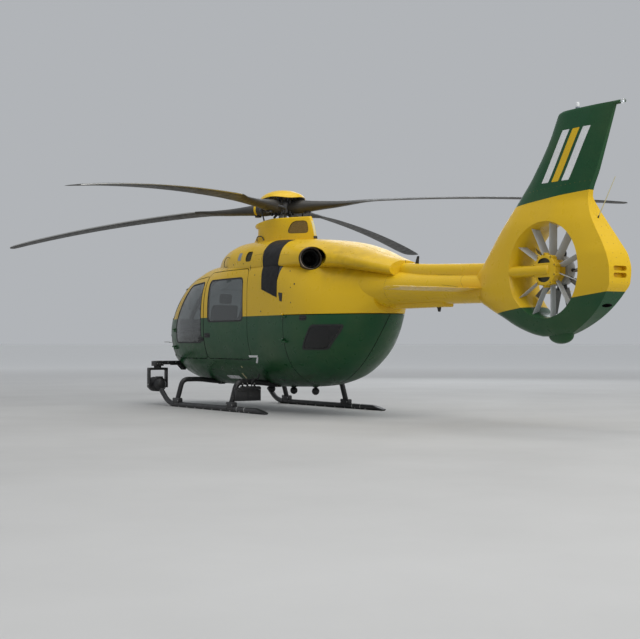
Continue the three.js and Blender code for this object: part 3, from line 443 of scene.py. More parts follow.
def points_of(obj):
    verts = np.zeros(len(obj.data.vertices) * 3)
    obj.data.vertices.foreach_get("co", verts)
    return verts.reshape(-1, 3)


def signed_volume(obj):
    mesh = obj.data
    mesh.calc_loop_triangles()
    index = np.zeros(len(mesh.loop_triangles) * 3, int)
    mesh.loop_triangles.foreach_get("vertices", index)
    a, b, c = points_of(obj)[index.reshape(-1, 3)].swapaxes(0, 1)
    return float(np.sum(a * np.cross(b, c)) / 6)


def copied(obj):
    twin = obj.copy()
    twin.data = obj.data.copy()
    return linked(twin)


def settle(obj):
    """Turns an object's modifiers into its mesh."""
    graph = bpy.context.evaluated_depsgraph_get()
    mesh = bpy.data.meshes.new_from_object(obj.evaluated_get(graph))
    obj.modifiers.clear()
    obj.data = mesh
    return obj


def change(obj, kind, **settings):
    """Applies one modifier."""
    modifier = obj.modifiers.new(kind.lower(), kind)
    for name, value in settings.items():
        setattr(modifier, name, value)
    return settle(obj)


def carve(obj, *cutters, how="DIFFERENCE"):
    """Cuts an object by forms or by other objects, which it uses up."""
    for cutter in cutters:
        tool = cutter if isinstance(cutter, bpy.types.Object) else solid(cutter, 2)
        change(obj, "BOOLEAN", operation=how, solver="MANIFOLD", object=tool)
        bpy.data.objects.remove(tool)
    return obj


def finish(obj, name, materials, slot, node=None, rides="airframe", smooth=35, bevel=0.0):
    """Places a carved or built object in the frame as a piece of the model; `node` is the solid it stands for."""
    obj.name = obj.data.name = name
    materials = materials if isinstance(materials, list) else [materials] * 3
    while len(obj.data.materials) < len(materials):
        obj.data.materials.append(None)
    for i, material in enumerate(materials):
        obj.data.materials[i] = material
    obj.data.transform(Matrix.Translation((MAST_X, 0, 0)))
    if bevel:
        change(obj, "BEVEL", width=bevel, segments=2, limit_method="ANGLE", angle_limit=math.radians(40))
    obj.data.shade_smooth()
    obj.data.set_sharp_from_angle(angle=math.radians(smooth))
    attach(obj, rides)
    if node:
        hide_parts(node)
    return obj


class Parts(list):
    """Pairs of a form and its material."""

    def add(self, material, *forms):
        self.extend((form, material) for form in forms)
        return self

    def each(self, place, *settings):
        return Parts((place(form, *settings), material) for form, material in self)

    def on(self, side):
        return self.each(on_side, side)


def piece(name, parts, slot, node=None, rides="airframe", smooth=35, bevel=0.0):
    """A piece from (form, material) pairs; forms with one material share its slot."""
    materials, slots = [], []
    for form, material in parts:
        if material not in materials:
            materials.append(material)
        slots.extend([materials.index(material)] * len(form[1]))
    obj = mesh_object(name, joined(*[form for form, _ in parts]), slots)
    outwards(obj)
    return finish(obj, name, materials, slot, node, rides, smooth, bevel)


def pair(name, parts, slot, node=None, rides="airframe", **look):
    """A piece on each side; {} in a name stands for the side."""
    for side in BOTH:
        word = SIDE_NAME[side]
        piece(name.format(word), Parts(parts).on(side), slot, node and node.format(word), rides.format(word), **look)


def outwards(obj):
    """Points every closed form's faces outwards."""
    work = bmesh.new()
    work.from_mesh(obj.data)
    bmesh.ops.recalc_face_normals(work, faces=work.faces)
    work.to_mesh(obj.data)
    work.free()


class Surface:
    """Finds points and normals on the outside of a form."""

    def __init__(self, form):
        self.tree = BVHTree.FromPolygons([tuple(v) for v in form[0]], form[1])

    def towards(self, start, direction):
        place, normal, _, _ = self.tree.ray_cast(Vector(start), Vector(direction).normalized())
        if place is None:
            return None
        return place, -normal if normal.dot(Vector(direction)) > 0 else normal

    def behind(self, point, view):
        """What a ray along `view` meets on its way to the point, or else what lies nearest to the point."""
        view = Vector(view).normalized()
        return self.towards(Vector(point) - view * FAR, view) or self.tree.find_nearest(Vector(point))[:2]

    def side(self, x, z):
        return self.towards((x, FAR, z), INWARDS)

    def below(self, x, y):
        return self.towards((x, y, -1.0), (0, 0, 1))


def set_on(form, place, normal):
    """Stands a form that was made round the origin, +Z out, on a surface."""
    return moved(form, Matrix.Translation(place) @ Vector(normal).to_track_quat("Z", "Y").to_matrix().to_4x4())


def stud(radius, height, sides=10):
    profile = [(0, -height), (radius, -height), (radius, height * 0.4), (radius * 0.7, height), (0, height)]
    return lathe(profile, sides=sides)


def studs(hits, radius, height):
    return joined(*[set_on(stud(radius, height), place, normal) for place, normal in hits])


# Thin things that lie on a surface

def dense(outline, step=0.03):
    """An outline with extra points along its long sides."""
    points = []
    for a, b in zip(outline, np.roll(outline, -1, axis=0)):
        count = max(1, int(np.ceil(np.linalg.norm(b - a) / step)))
        points += [a + (b - a) * i / count for i in range(count)]
    return np.array(points)


def patch(surface, outline, lift=0.001, depth=0.003, view=INWARDS, plane="xz"):
    """A thin plate on a surface. Its outline is seen along `view`, in the two axes of `plane`."""
    outline = dense(np.asarray(outline, float))
    middle = outline.mean(axis=0)
    place = ["xyz".index(axis) for axis in plane]
    rings = []
    for share, height in ((1.0, -depth), (1.0, lift), (0.66, lift), (0.33, lift), (0.03, lift)):
        points = np.zeros((len(outline), 3))
        points[:, place] = middle + (outline - middle) * share
        found = [surface.behind(point, view) for point in points]
        rings.append(np.array([spot + normal * height for spot, normal in found]))
    return loft(rings)


def strip(surface, left, right, lift, depth, columns, steps):
    """A thin skin between two edges that run over a surface's side and shoulder."""
    rings = []
    for a, b in zip(through(left, steps), through(right, steps)):
        points = [a + (b - a) * t for t in np.linspace(0, 1, columns + 1)]
        found = [surface.behind(point, (0, -1, -4 * max(0.0, point[2] - 2.1))) for point in points]
        top = [place + normal * lift for place, normal in found]
        low = [place - normal * depth for place, normal in found]
        rings.append(np.array(top + low[::-1]))
    return loft(rings)


def seam(surface, points, radius=0.0016):
    """A thin line over a surface through points in x and z."""
    found = [surface.behind(point, INWARDS) for point in through([(x, 0, z) for x, z in points], 6)]
    return tube([tuple(place - normal * radius * 0.4) for place, normal in found], radius, 6)


def rivets(surface, start, end, pitch, radius):
    start, end = np.array(start, float), np.array(end, float)
    count = max(2, int(np.linalg.norm(end - start) / pitch))
    places = [start + (end - start) * t for t in np.linspace(0, 1, count)]
    return studs([surface.behind((x, 0, z), INWARDS) for x, z in places], radius, 0.001)


# Materials

class Wiring:
    """A short way to wire one procedural material."""

    def __init__(self, name, roughness=0.5, metallic=0.0, **sockets):
        self.material = bpy.data.materials.new(name)
        self.material.use_nodes = True
        self.tree = self.material.node_tree
        self.shader = self.tree.nodes["Principled BSDF"]
        self.shader.inputs["Roughness"].default_value = roughness
        self.shader.inputs["Metallic"].default_value = metallic
        for socket, value in sockets.items():
            self.shader.inputs[socket.replace("_", " ")].default_value = value
        self.place = self.node("ShaderNodeTexCoord").outputs["Object"]

    def node(self, kind, **settings):
        node = self.tree.nodes.new(kind)
        for name, value in settings.items():
            setattr(node, name, value)
        return node

    def join(self, source, target):
        if isinstance(source, (int, float)):
            target.default_value = source
        elif isinstance(source, tuple):
            target.default_value = (*source, 1.0) if len(source) == 3 else source
        else:
            self.tree.links.new(source, target)

    def math(self, operation, a, b=0.0, c=0.0, clamp=False):
        node = self.node("ShaderNodeMath", operation=operation, use_clamp=clamp)
        for value, socket in zip((a, b, c), node.inputs):
            self.join(value, socket)
        return node.outputs[0]

    def axis(self, name):
        node = self.node("ShaderNodeSeparateXYZ")
        self.join(self.place, node.inputs[0])
        return node.outputs[name]

    def noise(self, scale, detail=4.0, rough=0.55, stretch=(1, 1, 1)):
        mapping = self.node("ShaderNodeMapping")
        mapping.inputs["Scale"].default_value = stretch
        self.join(self.place, mapping.inputs["Vector"])
        node = self.node("ShaderNodeTexNoise")
        self.join(mapping.outputs[0], node.inputs["Vector"])
        node.inputs["Scale"].default_value = scale
        node.inputs["Detail"].default_value = detail
        node.inputs["Roughness"].default_value = rough
        return node.outputs["Fac"]

    def ramp(self, value, low, high, to_low=0.0, to_high=1.0):
        node = self.node("ShaderNodeMapRange")
        for socket, number in zip(("From Min", "From Max", "To Min", "To Max"), (low, high, to_low, to_high)):
            self.join(number, node.inputs[socket])
        self.join(value, node.inputs["Value"])
        return node.outputs["Result"]

    def mix(self, factor, a, b):
        node = self.node("ShaderNodeMix", data_type="RGBA")
        self.join(factor, node.inputs["Factor"])
        self.join(a, node.inputs[6])
        self.join(b, node.inputs[7])
        return node.outputs[2]

    def colour(self, source):
        self.join(source, self.shader.inputs["Base Color"])

    def rough(self, source):
        self.join(source, self.shader.inputs["Roughness"])

    def bump(self, *layers):
        """Each layer is (height, strength, distance)."""
        normal = None
        for height, strength, distance in layers:
            node = self.node("ShaderNodeBump")
            node.inputs["Strength"].default_value = strength
            node.inputs["Distance"].default_value = distance
            self.join(height, node.inputs["Height"])
            if normal is not None:
                self.join(normal, node.inputs["Normal"])
            normal = node.outputs["Normal"]
        self.join(normal, self.shader.inputs["Normal"])

    def above_line(self, start, end):
        """1 where a point lies above the line between two points in x and z."""
        slope = (end[1] - start[1]) / (end[0] - start[0])
        height = self.math("MULTIPLY_ADD", self.axis("X"), slope, start[1] - slope * (start[0] + MAST_X))
        return self.math("GREATER_THAN", self.axis("Z"), height)


YELLOW = (0.7, 0.445, 0.01)
GREEN = (0.006, 0.064, 0.02)
GRIME = (0.03, 0.026, 0.02)
DUST = (0.42, 0.34, 0.16)
# Soot lies round a place behind the port exhaust, stretched along the cowling
SOOT_X, SOOT_Y, SOOT_Z = -2.35, 0.45, 2.12
SOOT_STRETCH = 0.5


def paint(name, choose=None, colour=YELLOW):
    """Gloss paint with dust, soot and streaks on the belly. `choose` gives the part of green."""
    wiring = Wiring(name, 0.36, 0.0, Coat_Weight=0.05, Coat_Roughness=0.12, Specular_IOR_Level=0.28)
    base = colour if choose is None else wiring.mix(choose(wiring), YELLOW, GREEN)
    patches = wiring.ramp(wiring.noise(1.7, 5), 0.4, 0.75, 0.0, 0.05)
    base = wiring.mix(patches, base, DUST)
    specks = wiring.ramp(wiring.noise(55, 6, 0.7), 0.66, 0.86, 0.0, 0.22)
    base = wiring.mix(specks, base, GRIME)
    away = wiring.node("ShaderNodeVectorMath", operation="DISTANCE")
    squeezed = wiring.node("ShaderNodeVectorMath", operation="MULTIPLY")
    wiring.join(wiring.place, squeezed.inputs[0])
    squeezed.inputs[1].default_value = (SOOT_STRETCH, 1.0, 1.0)
    wiring.join(squeezed.outputs[0], away.inputs[0])
    away.inputs[1].default_value = ((SOOT_X + MAST_X) * SOOT_STRETCH, SOOT_Y, SOOT_Z)
    soot = wiring.ramp(away.outputs["Value"], 0.08, 0.45, 0.42, 0.0)
    soot = wiring.math("MULTIPLY", soot, wiring.ramp(wiring.noise(6, 5), 0.3, 0.7))
    base = wiring.mix(soot, base, GRIME)
    belly = wiring.ramp(wiring.axis("Z"), 0.7, 0.34, 0.0, 0.8)
    streaks = wiring.ramp(wiring.noise(5, 6, 0.6, (0.25, 3, 1)), 0.42, 0.68)
    base = wiring.mix(wiring.math("MULTIPLY", belly, streaks, clamp=True), base, GRIME)
    wiring.colour(base)
    wiring.rough(wiring.ramp(wiring.noise(9, 6), 0.3, 0.75, 0.24, 0.46))
    wiring.bump((wiring.noise(1.4, 2), 0.1, 0.02), (wiring.noise(420, 2), 0.05, 0.001))
    return wiring.material


def pod_green(wiring):
    return wiring.math("LESS_THAN", wiring.axis("Z"), LIVERY_LINE)


def tail_green(wiring):
    low = wiring.above_line(*TAIL_LOW_EDGE)
    low = wiring.math("MAXIMUM", low, wiring.math("GREATER_THAN", wiring.axis("Z"), TAIL_LOW_LEVEL))
    high = wiring.above_line(*TAIL_HIGH_EDGE)
    return wiring.math("MAXIMUM", wiring.math("SUBTRACT", 1.0, low), high)


def plain(name, colour, roughness=0.5, metallic=0.0, grain=180, depth=0.12, wear=None, **sockets):
    """A surface with fine grain, uneven roughness and, if asked, a second colour worn through."""
    wiring = Wiring(name, roughness, metallic, **sockets)
    tone = wiring.ramp(wiring.noise(4, 5), 0.3, 0.7, 0.0, 0.35)
    base = wiring.mix(tone, colour, tuple(min(1.0, c * 0.62 + 0.006) for c in colour))
    if wear:
        worn = wiring.ramp(wiring.noise(28, 8, 0.7), 0.6, 0.66, 0.0, 0.85)
        base = wiring.mix(worn, base, wear)
    wiring.colour(base)
    wiring.rough(wiring.ramp(wiring.noise(14, 5), 0.3, 0.7, max(roughness - 0.1, 0.03), min(roughness + 0.12, 1)))
    wiring.bump((wiring.noise(grain, 3), depth, 0.0015))
    return wiring.material


def brushed(name, colour, roughness, stretch=(40, 1, 1)):
    wiring = Wiring(name, roughness, 1.0)
    lines = wiring.noise(30, 4, 0.6, stretch)
    wiring.colour(wiring.mix(wiring.ramp(lines, 0.3, 0.7, 0, 0.5), colour, tuple(c * 0.6 for c in colour)))
    wiring.rough(wiring.ramp(lines, 0.3, 0.7, roughness - 0.08, roughness + 0.15))
    wiring.bump((lines, 0.08, 0.001))
    return wiring.material


def heat_stained(name):
    wiring = Wiring(name, 0.4, 0.9)
    stain = wiring.ramp(wiring.noise(9, 6, 0.6), 0.35, 0.7)
    wiring.colour(wiring.mix(stain, (0.2, 0.16, 0.12), (0.045, 0.04, 0.038)))
    wiring.rough(wiring.ramp(wiring.noise(20, 5), 0.3, 0.7, 0.32, 0.6))
    wiring.bump((wiring.noise(60, 5), 0.15, 0.002))
    return wiring.material


def glass(name, tint, weight=0.92):
    wiring = Wiring(name, 0.03, 0.0, Transmission_Weight=weight, IOR=1.45)
    smears = wiring.ramp(wiring.noise(7, 6, 0.7), 0.55, 0.8, 0.0, 0.1)
    wiring.colour(wiring.mix(smears, tint, (0.3, 0.29, 0.27)))
    wiring.rough(wiring.ramp(wiring.noise(12, 5), 0.5, 0.8, 0.02, 0.12))
    return wiring.material


def blade_skin():
    """Matt composite with fine specks."""
    wiring = Wiring("blade_skin", 0.45)
    tone = wiring.ramp(wiring.noise(3, 6, 0.6), 0.35, 0.7)
    base = wiring.mix(tone, (0.03, 0.03, 0.03), (0.052, 0.048, 0.04))
    specks = wiring.ramp(wiring.noise(90, 5, 0.7), 0.62, 0.72, 0.0, 0.5)
    wiring.colour(wiring.mix(specks, base, (0.12, 0.1, 0.07)))
    wiring.rough(wiring.ramp(wiring.noise(15, 5), 0.3, 0.7, 0.36, 0.6))
    wiring.bump((wiring.noise(160, 4), 0.1, 0.001))
    return wiring.material


def woven(name, colour):
    wiring = Wiring(name, 0.9, 0.0, Sheen_Weight=0.25)
    weave = []
    for direction in ("X", "Y"):
        wave = wiring.node("ShaderNodeTexWave", bands_direction=direction)
        wiring.join(wiring.place, wave.inputs["Vector"])
        wave.inputs["Scale"].default_value = 160
        weave.append(wave.outputs["Fac"])
    cross = wiring.math("MULTIPLY", weave[0], weave[1])
    wiring.colour(wiring.mix(cross, colour, tuple(c * 1.9 for c in colour)))
    wiring.bump((cross, 0.35, 0.002), (wiring.noise(8, 4), 0.2, 0.01))
    return wiring.material


PAINT = {
    "pod": paint("livery_pod", pod_green),
    "tail": paint("livery_tail", tail_green),
    "yellow": paint("yellow_gloss"),
    "green": paint("green_gloss", colour=GREEN),
}
LINING = plain("cabin_lining", (0.16, 0.165, 0.17), 0.8, grain=300)
# Black rubber for seals and cut edges, also used as painted shade inside the tail's oval recess.
SEAL_AND_SHADE = plain("rubber_seal_and_recess_shade", (0.012, 0.012, 0.013), 0.6, grain=400)
GLASS = glass("tinted_glass", (0.33, 0.36, 0.36))
SMOKED_GLASS = glass("smoked_glass", (0.03, 0.033, 0.036), 0.8)
BAND_BLACK = plain("band_black", (0.013, 0.013, 0.014), 0.58, grain=150, depth=0.08, Specular_IOR_Level=0.25)
DARK_GLASS = plain("black_glass", (0.01, 0.011, 0.012), 0.1, grain=3, depth=0.02, Coat_Weight=0.6)
BLACK = plain("satin_black", (0.014, 0.014, 0.015), 0.42, grain=350, wear=(0.09, 0.085, 0.08))
BLACK_PLASTIC = plain("black_plastic", (0.02, 0.02, 0.021), 0.62, grain=500, depth=0.3)
HUB_GREY = plain("hub_grey", (0.026, 0.027, 0.03), 0.48, grain=120, wear=(0.06, 0.058, 0.05))
STEEL = brushed("machined_steel", (0.62, 0.62, 0.61), 0.32)
ALLOY = plain("bare_alloy", (0.5, 0.5, 0.49), 0.45, 0.85, grain=150)
EXHAUST_STEEL = heat_stained("exhaust_steel")
SOOT = plain("soot", (0.008, 0.008, 0.008), 0.9, grain=60)
BLADE = blade_skin()
FAN_HUB = plain("fan_hub", (0.36, 0.365, 0.36), 0.42, grain=120)
FAN_GREY = plain("fan_grey", (0.2, 0.205, 0.205), 0.42, grain=120, wear=(0.3, 0.3, 0.29))
STATOR_GREY = plain("stator_grey", (0.52, 0.54, 0.55), 0.38, grain=120)
WHITE = plain("white_gloss", (0.78, 0.79, 0.8), 0.3, grain=200, depth=0.05)
LENS = glass("clear_lens", (0.85, 0.87, 0.88))
REFLECTOR = brushed("reflector", (0.85, 0.85, 0.84), 0.15, (1, 1, 1))
FABRIC = woven("seat_cloth", (0.02, 0.022, 0.026))
WEBBING = woven("belt_webbing", (0.05, 0.05, 0.052))
FLOORING = plain("floor_covering", (0.1, 0.105, 0.11), 0.75, grain=90, depth=0.3)
BRONZE_MESH = plain("bronze_mesh", (0.1, 0.062, 0.018), 0.7, grain=600, depth=0.5)
BRONZE_WIRE = plain("bronze_wire", (0.42, 0.28, 0.08), 0.45, 0.4, grain=300)
# Blue-grey of the mark on the cowl and the beacon's base, also the painted highlight on the tail recess's lip.
GREY_MARK_AND_HIGHLIGHT = plain("grey_mark_and_lip_highlight", (0.22, 0.25, 0.3), 0.5, grain=200)
AMBER = plain("pale_marker", (0.62, 0.56, 0.3), 0.5, grain=100)
# Dark olive that paints the shade inside recesses: the cowl's inner face, the vent's walls and slats, and the stator
# drum's recessed face.
RECESS_SHADE = plain("painted_recess_shade", (0.055, 0.05, 0.02), 0.6, grain=120)
FASTENER = plain("fastener_heads", (0.3, 0.2, 0.03), 0.45, 0.2, grain=300)
SCREEN = plain("display_glass", (0.012, 0.016, 0.022), 0.08, grain=4, depth=0.01, Coat_Weight=1.0)


# Fuselage

POD_SURFACE = Surface(body(POD))
UPPER_SURFACE = Surface(joined(body(POD), body(COWL)))


def band_shell(table, outer, inner):
    """A thin shell that follows a fuselage body, from `outer` to `inner` below its surface."""
    return carve(solid(body(table, outer)), solid(body(table, inner), 0))


def build_fuselage():
    shell = carve(solid(body(POD)), solid(body(POD, WALL), 1))
    skins = [PAINT["pod"], LINING, SEAL_AND_SHADE]
    gap = DOOR_GAP / 2
    fixed = copied(shell)
    for side in BOTH:
        carve(fixed, opening("front_door", side, gap), opening("sliding_door", side, gap),
              *[opening(window, side) for window in ("quarter_window", "windscreen", "chin_window")])
    carve(fixed, block((-4, TAIL_DOOR_X + gap), (-FAR, FAR), (-1, TAIL_DOOR_TOP + gap)))
    carve(fixed, exhaust_room(PORT), exhaust_room(STARBOARD))
    belly = block((-4, 4), (-FAR, FAR), (-1, DECK_SPLIT))
    finish(carve(copied(fixed), belly, how="INTERSECT"), "belly_skin", skins, "green_paint", "belly_shell")
    finish(carve(fixed, belly), "cabin_skin", skins, "yellow_paint", "cabin_shell")
    for side in BOTH:
        tail_door = on_side(block((-4, TAIL_DOOR_X - gap), (gap, FAR), (-1, TAIL_DOOR_TOP - gap)), side)
        doors = [("front_door", opening("front_door", side, -gap), "yellow_paint"),
                 ("sliding_door", opening("sliding_door", side, -gap), "yellow_paint"),
                 ("tail_door", tail_door, "green_paint")]
        for door, region, slot in doors:
            skin = carve(copied(shell), region, how="INTERSECT")
            carve(skin, opening(door + "_glass", side))
            node = f"{door}_{SIDE_NAME[side]}"
            rides = "airframe" if door == "sliding_door" else node
            finish(skin, f"{door}_skin_{SIDE_NAME[side]}", skins, slot, node, rides)
    bpy.data.objects.remove(shell)
    build_windows()


def build_windows():
    panes = band_shell(POD, 0.003, 0.009)
    frames = band_shell(POD, -0.0015, 0.013)
    # window, body, glass
    windows = [("front_door_glass", "front_door_{}", GLASS), ("sliding_door_glass", "airframe", GLASS),
               ("quarter_window", "airframe", DARK_GLASS), ("windscreen", "airframe", GLASS),
               ("chin_window", "airframe", GLASS), ("tail_door_glass", "tail_door_{}", SMOKED_GLASS)]
    for name, body_name, material in windows:
        for side in BOTH:
            node, rides = f"{name}_{SIDE_NAME[side]}", body_name.format(SIDE_NAME[side])
            pane = carve(copied(panes), opening(name, side, -0.001), how="INTERSECT")
            finish(pane, f"{node}_pane", material, "glass", node, rides)
            if name != "quarter_window":
                rim = carve(copied(frames), opening(name, side, 0.012), how="INTERSECT")
                finish(carve(rim, opening(name, side, -0.01)), f"{node}_seal", SEAL_AND_SHADE, "black_plastic", rides=rides)
    bpy.data.objects.remove(panes)
    bpy.data.objects.remove(frames)


def build_black_band():
    """Black paint over the quarter window, carried up over the cowling's shoulder."""
    band = strip(UPPER_SURFACE, BAND_FRONT, BAND_REAR, lift=0.003, depth=0.006, columns=20, steps=12)
    pair("quarter_band_{}", [(band, BAND_BLACK)], "black_plastic")


# Cowling

def fairing_ring(row, grow=0.0, count=96):
    z, front, rear, half, power, dip = row
    s = FAIRING_SHAPE
    angle = (np.arange(count) + 0.5) * TAU / count
    cos, sin = np.cos(angle), np.sin(angle)
    along = np.abs(cos) ** (2 / power)
    taper = np.where(cos > 0, 1.0, 1 - (1 - s["tail_part"]) * along ** s["taper_power"])
    x = s["widest"] + (np.where(cos > 0, front + grow, rear - grow) - s["widest"]) * along
    y = (half + grow) * taper * np.sign(sin) * np.abs(sin) ** (2 / power)
    return np.column_stack([x, y, z - dip * np.clip((x - s["dip_from"]) / s["dip_length"], 0, 1)])


def fairing_form(grow=0.0):
    return loft([fairing_ring(row, grow) for row in eased(FAIRING, 6)])


def exhaust_bore(profile, side):
    """A turned form on the exhaust's axis, which runs out of the nozzle."""
    form = turned(lathe(profile, "x", sides=64), 180 - EXHAUST["angle"], "Z")
    return on_side(placed(form, EXHAUST["x"], EXHAUST["y"], EXHAUST["z"]), side)


def exhaust_room(side):
    reach = EXHAUST["radius"] + EXHAUST["room"]
    return exhaust_bore([(0, -0.3), (reach, -0.3), (reach, 1.2), (0, 1.2)], side)


FAIRING_SURFACE = Surface(fairing_form())


def build_cowling():
    shell = carve(solid(body(COWL)), solid(body(COWL, 0.025), 1))
    carve(shell, body(POD, -0.001), body(BOOM, -0.001), fairing_form(0.001))
    for side in BOTH:
        carve(shell, solid(exhaust_room(side), 0), vent_recess(side))
    opening = [(0.28, -0.24), (0.28, 0.24), (-0.15, 0.24), (-0.64, 0.06), (-0.64, -0.06), (-0.15, -0.24)]
    carve(shell, prism(rounded(opening, 0.06), "xy", 2.3, 2.7))
    gap = 0.003
    front = carve(copied(shell), block((FIREWALL_X + gap, 4), (-FAR, FAR), (1, 4)), how="INTERSECT")
    # The transmission cowl's inner face and the vent's walls take slot 1, the dark olive of painted recess shade.
    finish(front, "transmission_cowl_skin", [PAINT["yellow"], RECESS_SHADE, SEAL_AND_SHADE], "yellow_paint", "transmission_cowl")
    for side in BOTH:
        region = on_side(block((-5, FIREWALL_X - gap), (gap, FAR), (1, 4)), side)
        rear = carve(copied(shell), region, how="INTERSECT")
        name = SIDE_NAME[side]
        finish(rear, f"engine_cowl_skin_{name}", [PAINT["yellow"], LINING, SEAL_AND_SHADE], "yellow_paint",
               f"engine_cowl_{name}")
        build_exhaust(side)
        build_vent_slats(side)
    bpy.data.objects.remove(shell)
    build_fairing()


VENT = {"x": -0.225, "z": 2.268, "half_x": 0.088, "half_z": 0.074, "depth": 0.014, "slats": 4}


def vent_prism():
    outline = rounded(oblong(about(VENT["x"], VENT["half_x"]), about(VENT["z"], VENT["half_z"])), 0.055, 0, 10)
    return prism(outline, "xz", 0.2, FAR)


def to_side(obj, side):
    if side == STARBOARD:
        obj.data.transform(Matrix.Diagonal((1, -1, 1, 1)))
        obj.data.flip_normals()
    return obj


def vent_recess(side):
    """The oval air vent in the cowling's side."""
    # Its walls take slot 1, which the cowl paints with the dark olive of painted recess shade.
    return to_side(carve(solid(vent_prism(), 1), solid(body(COWL, VENT["depth"]), 1)), side)


def build_vent_slats(side):
    """Thin slats across the vent, a little inside the cowling's skin."""
    low, height, count = VENT["z"] - VENT["half_z"], 2 * VENT["half_z"], VENT["slats"] + 1
    bars = [block(about(VENT["x"], 0.1), (0.2, FAR), about(low + height * i / count, 0.002)) for i in range(1, count)]
    slats = carve(solid(joined(*bars)), solid(vent_prism()), solid(body(COWL, 0.005)), how="INTERSECT")
    carve(slats, solid(body(COWL, VENT["depth"])))
    # The slats take the dark olive of painted recess shade.
    finish(to_side(slats, side), f"vent_slats_{SIDE_NAME[side]}", RECESS_SHADE, "black_metal")


def build_exhaust(side):
    r = EXHAUST["radius"]
    wall = [(r, -0.2), (r, 0.185), (r - 0.004, 0.192), (r - 0.012, 0.19), (r - 0.018, 0.17), (r - 0.02, -0.15),
            (r - 0.02, -0.2)]
    ring = [(r - 0.03, 0.1), (r - 0.03, 0.118), (r - 0.045, 0.118), (r - 0.05, -0.12), (r - 0.038, -0.12),
            (r - 0.04, 0.1)]
    plug = [(0, -0.18), (r - 0.02, -0.18), (r - 0.02, -0.17), (0.08, -0.16), (0.05, -0.08), (0.02, -0.03), (0, -0.02)]
    lip = [(r + 0.003, 0.15), (r + 0.008, 0.156), (r + 0.003, 0.162)]
    rows = ((wall, EXHAUST_STEEL), (ring, SOOT), (plug, SOOT), (lip, EXHAUST_STEEL))
    parts = [(exhaust_bore(profile, side), material) for profile, material in rows]
    piece(f"exhaust_pipe_{SIDE_NAME[side]}", parts, "exhaust_steel", f"exhaust_{SIDE_NAME[side]}")


def build_fairing():
    shell = solid(fairing_form())
    well = rod(0.24, "z", (0, 0, 0), 2.7, 3.0, 64)
    shaft = rod(0.092, "z", (0, 0, 0), 2.3, 3.0, 48)
    carve(shell, solid(well, 1), solid(shaft, 1), rod(0.235, "z", (0, 0, 0), 2.4, 2.68, 64))
    backing = carve(solid(fairing_form(-0.02)), fairing_form(-0.024))
    for side in BOTH:
        carve(shell, carve(solid(intake_room(side), 1), solid(fairing_form(-0.022), 1)))
        screen = carve(copied(backing), intake_room(side, -0.0005), how="INTERSECT")
        finish(screen, f"intake_backing_{SIDE_NAME[side]}", BRONZE_MESH, "black_metal")
    bpy.data.objects.remove(backing)
    finish(shell, "mast_fairing_skin", [PAINT["yellow"], SEAL_AND_SHADE, SEAL_AND_SHADE], "yellow_paint", "mast_fairing")
    pair("intake_screen_{}", [(intake_wires(), BRONZE_WIRE)], "black_metal")


def intake_room(side, grow=0.0):
    return on_side(prism(rounded(INTAKE, 0.075, grow), "xz", 0, FAR), side)


def intake_wires(pitch=0.0125):
    """A woven wire screen a little inside the intake's outline."""
    outline = rounded(INTAKE, 0.06, 0.004, 10)
    wires = []
    for axis in (0, 1):
        low, high = outline[:, axis].min(), outline[:, axis].max()
        for value in np.arange(low + pitch / 2, high, pitch):
            ends = crossings(outline, axis, value)
            if len(ends) < 2:
                continue
            run = [(value, t) if axis == 0 else (t, value) for t in np.linspace(ends[0], ends[-1], 9)]
            hits = [hit for hit in (FAIRING_SURFACE.side(x, z) for x, z in run) if hit]
            if len(hits) > 2:
                wires.append(tube([tuple(place - normal * 0.008) for place, normal in hits], 0.0016, 5))
    return joined(*wires)


def crossings(outline, axis, value):
    other = 1 - axis
    found = []
    for a, b in zip(outline, np.roll(outline, -1, axis=0)):
        if (a[axis] - value) * (b[axis] - value) < 0:
            t = (value - a[axis]) / (b[axis] - a[axis])
            found.append(a[other] + t * (b[other] - a[other]))
    return sorted(found)


# Tail

def tail_ring(row, grow=0.0):
    z, lead, trail, half, trail_half = row
    profile = np.array(TAIL_PROFILE)
    profile[:, 0] = np.sqrt(profile[:, 0])
    smooth = eased(profile, 5)
    along = smooth[:, 0] ** 2
    x = lead + grow - along * (lead - trail + 2 * grow)
    y = smooth[:, 1] * half + smooth[:, 2] * trail_half + np.where(along > 0, grow, 0)
    port = np.column_stack([x, y, np.full(len(x), z)])
    return np.vstack([port, port[1:][::-1] * MIRROR])


def tail_form(grow=0.0):
    return loft([tail_ring(row, grow) for row in eased(TAIL, 6)])


def duct_form():
    """The duct's air: a crisp edge on each face that flares down to the fan's bore."""
    upper = [(FAN["radius"] + FAN["mouth"] * t * t, 0.03 + 0.2 * t) for t in np.linspace(0, 1, 11)]
    upper.append((upper[-1][0], 0.32))
    lower = [(radius, -along) for radius, along in reversed(upper)]
    return lathe([(0, -0.32), *lower, *upper, (0, 0.32)], "y", (FAN["x"], 0, FAN["z"]), 160)


TAIL_SURFACE = Surface(tail_form())
FIN_SPLIT = [(-4.0, 2.437), (-8.0, 2.787), (-8.0, 4.5), (-4.0, 4.5)]


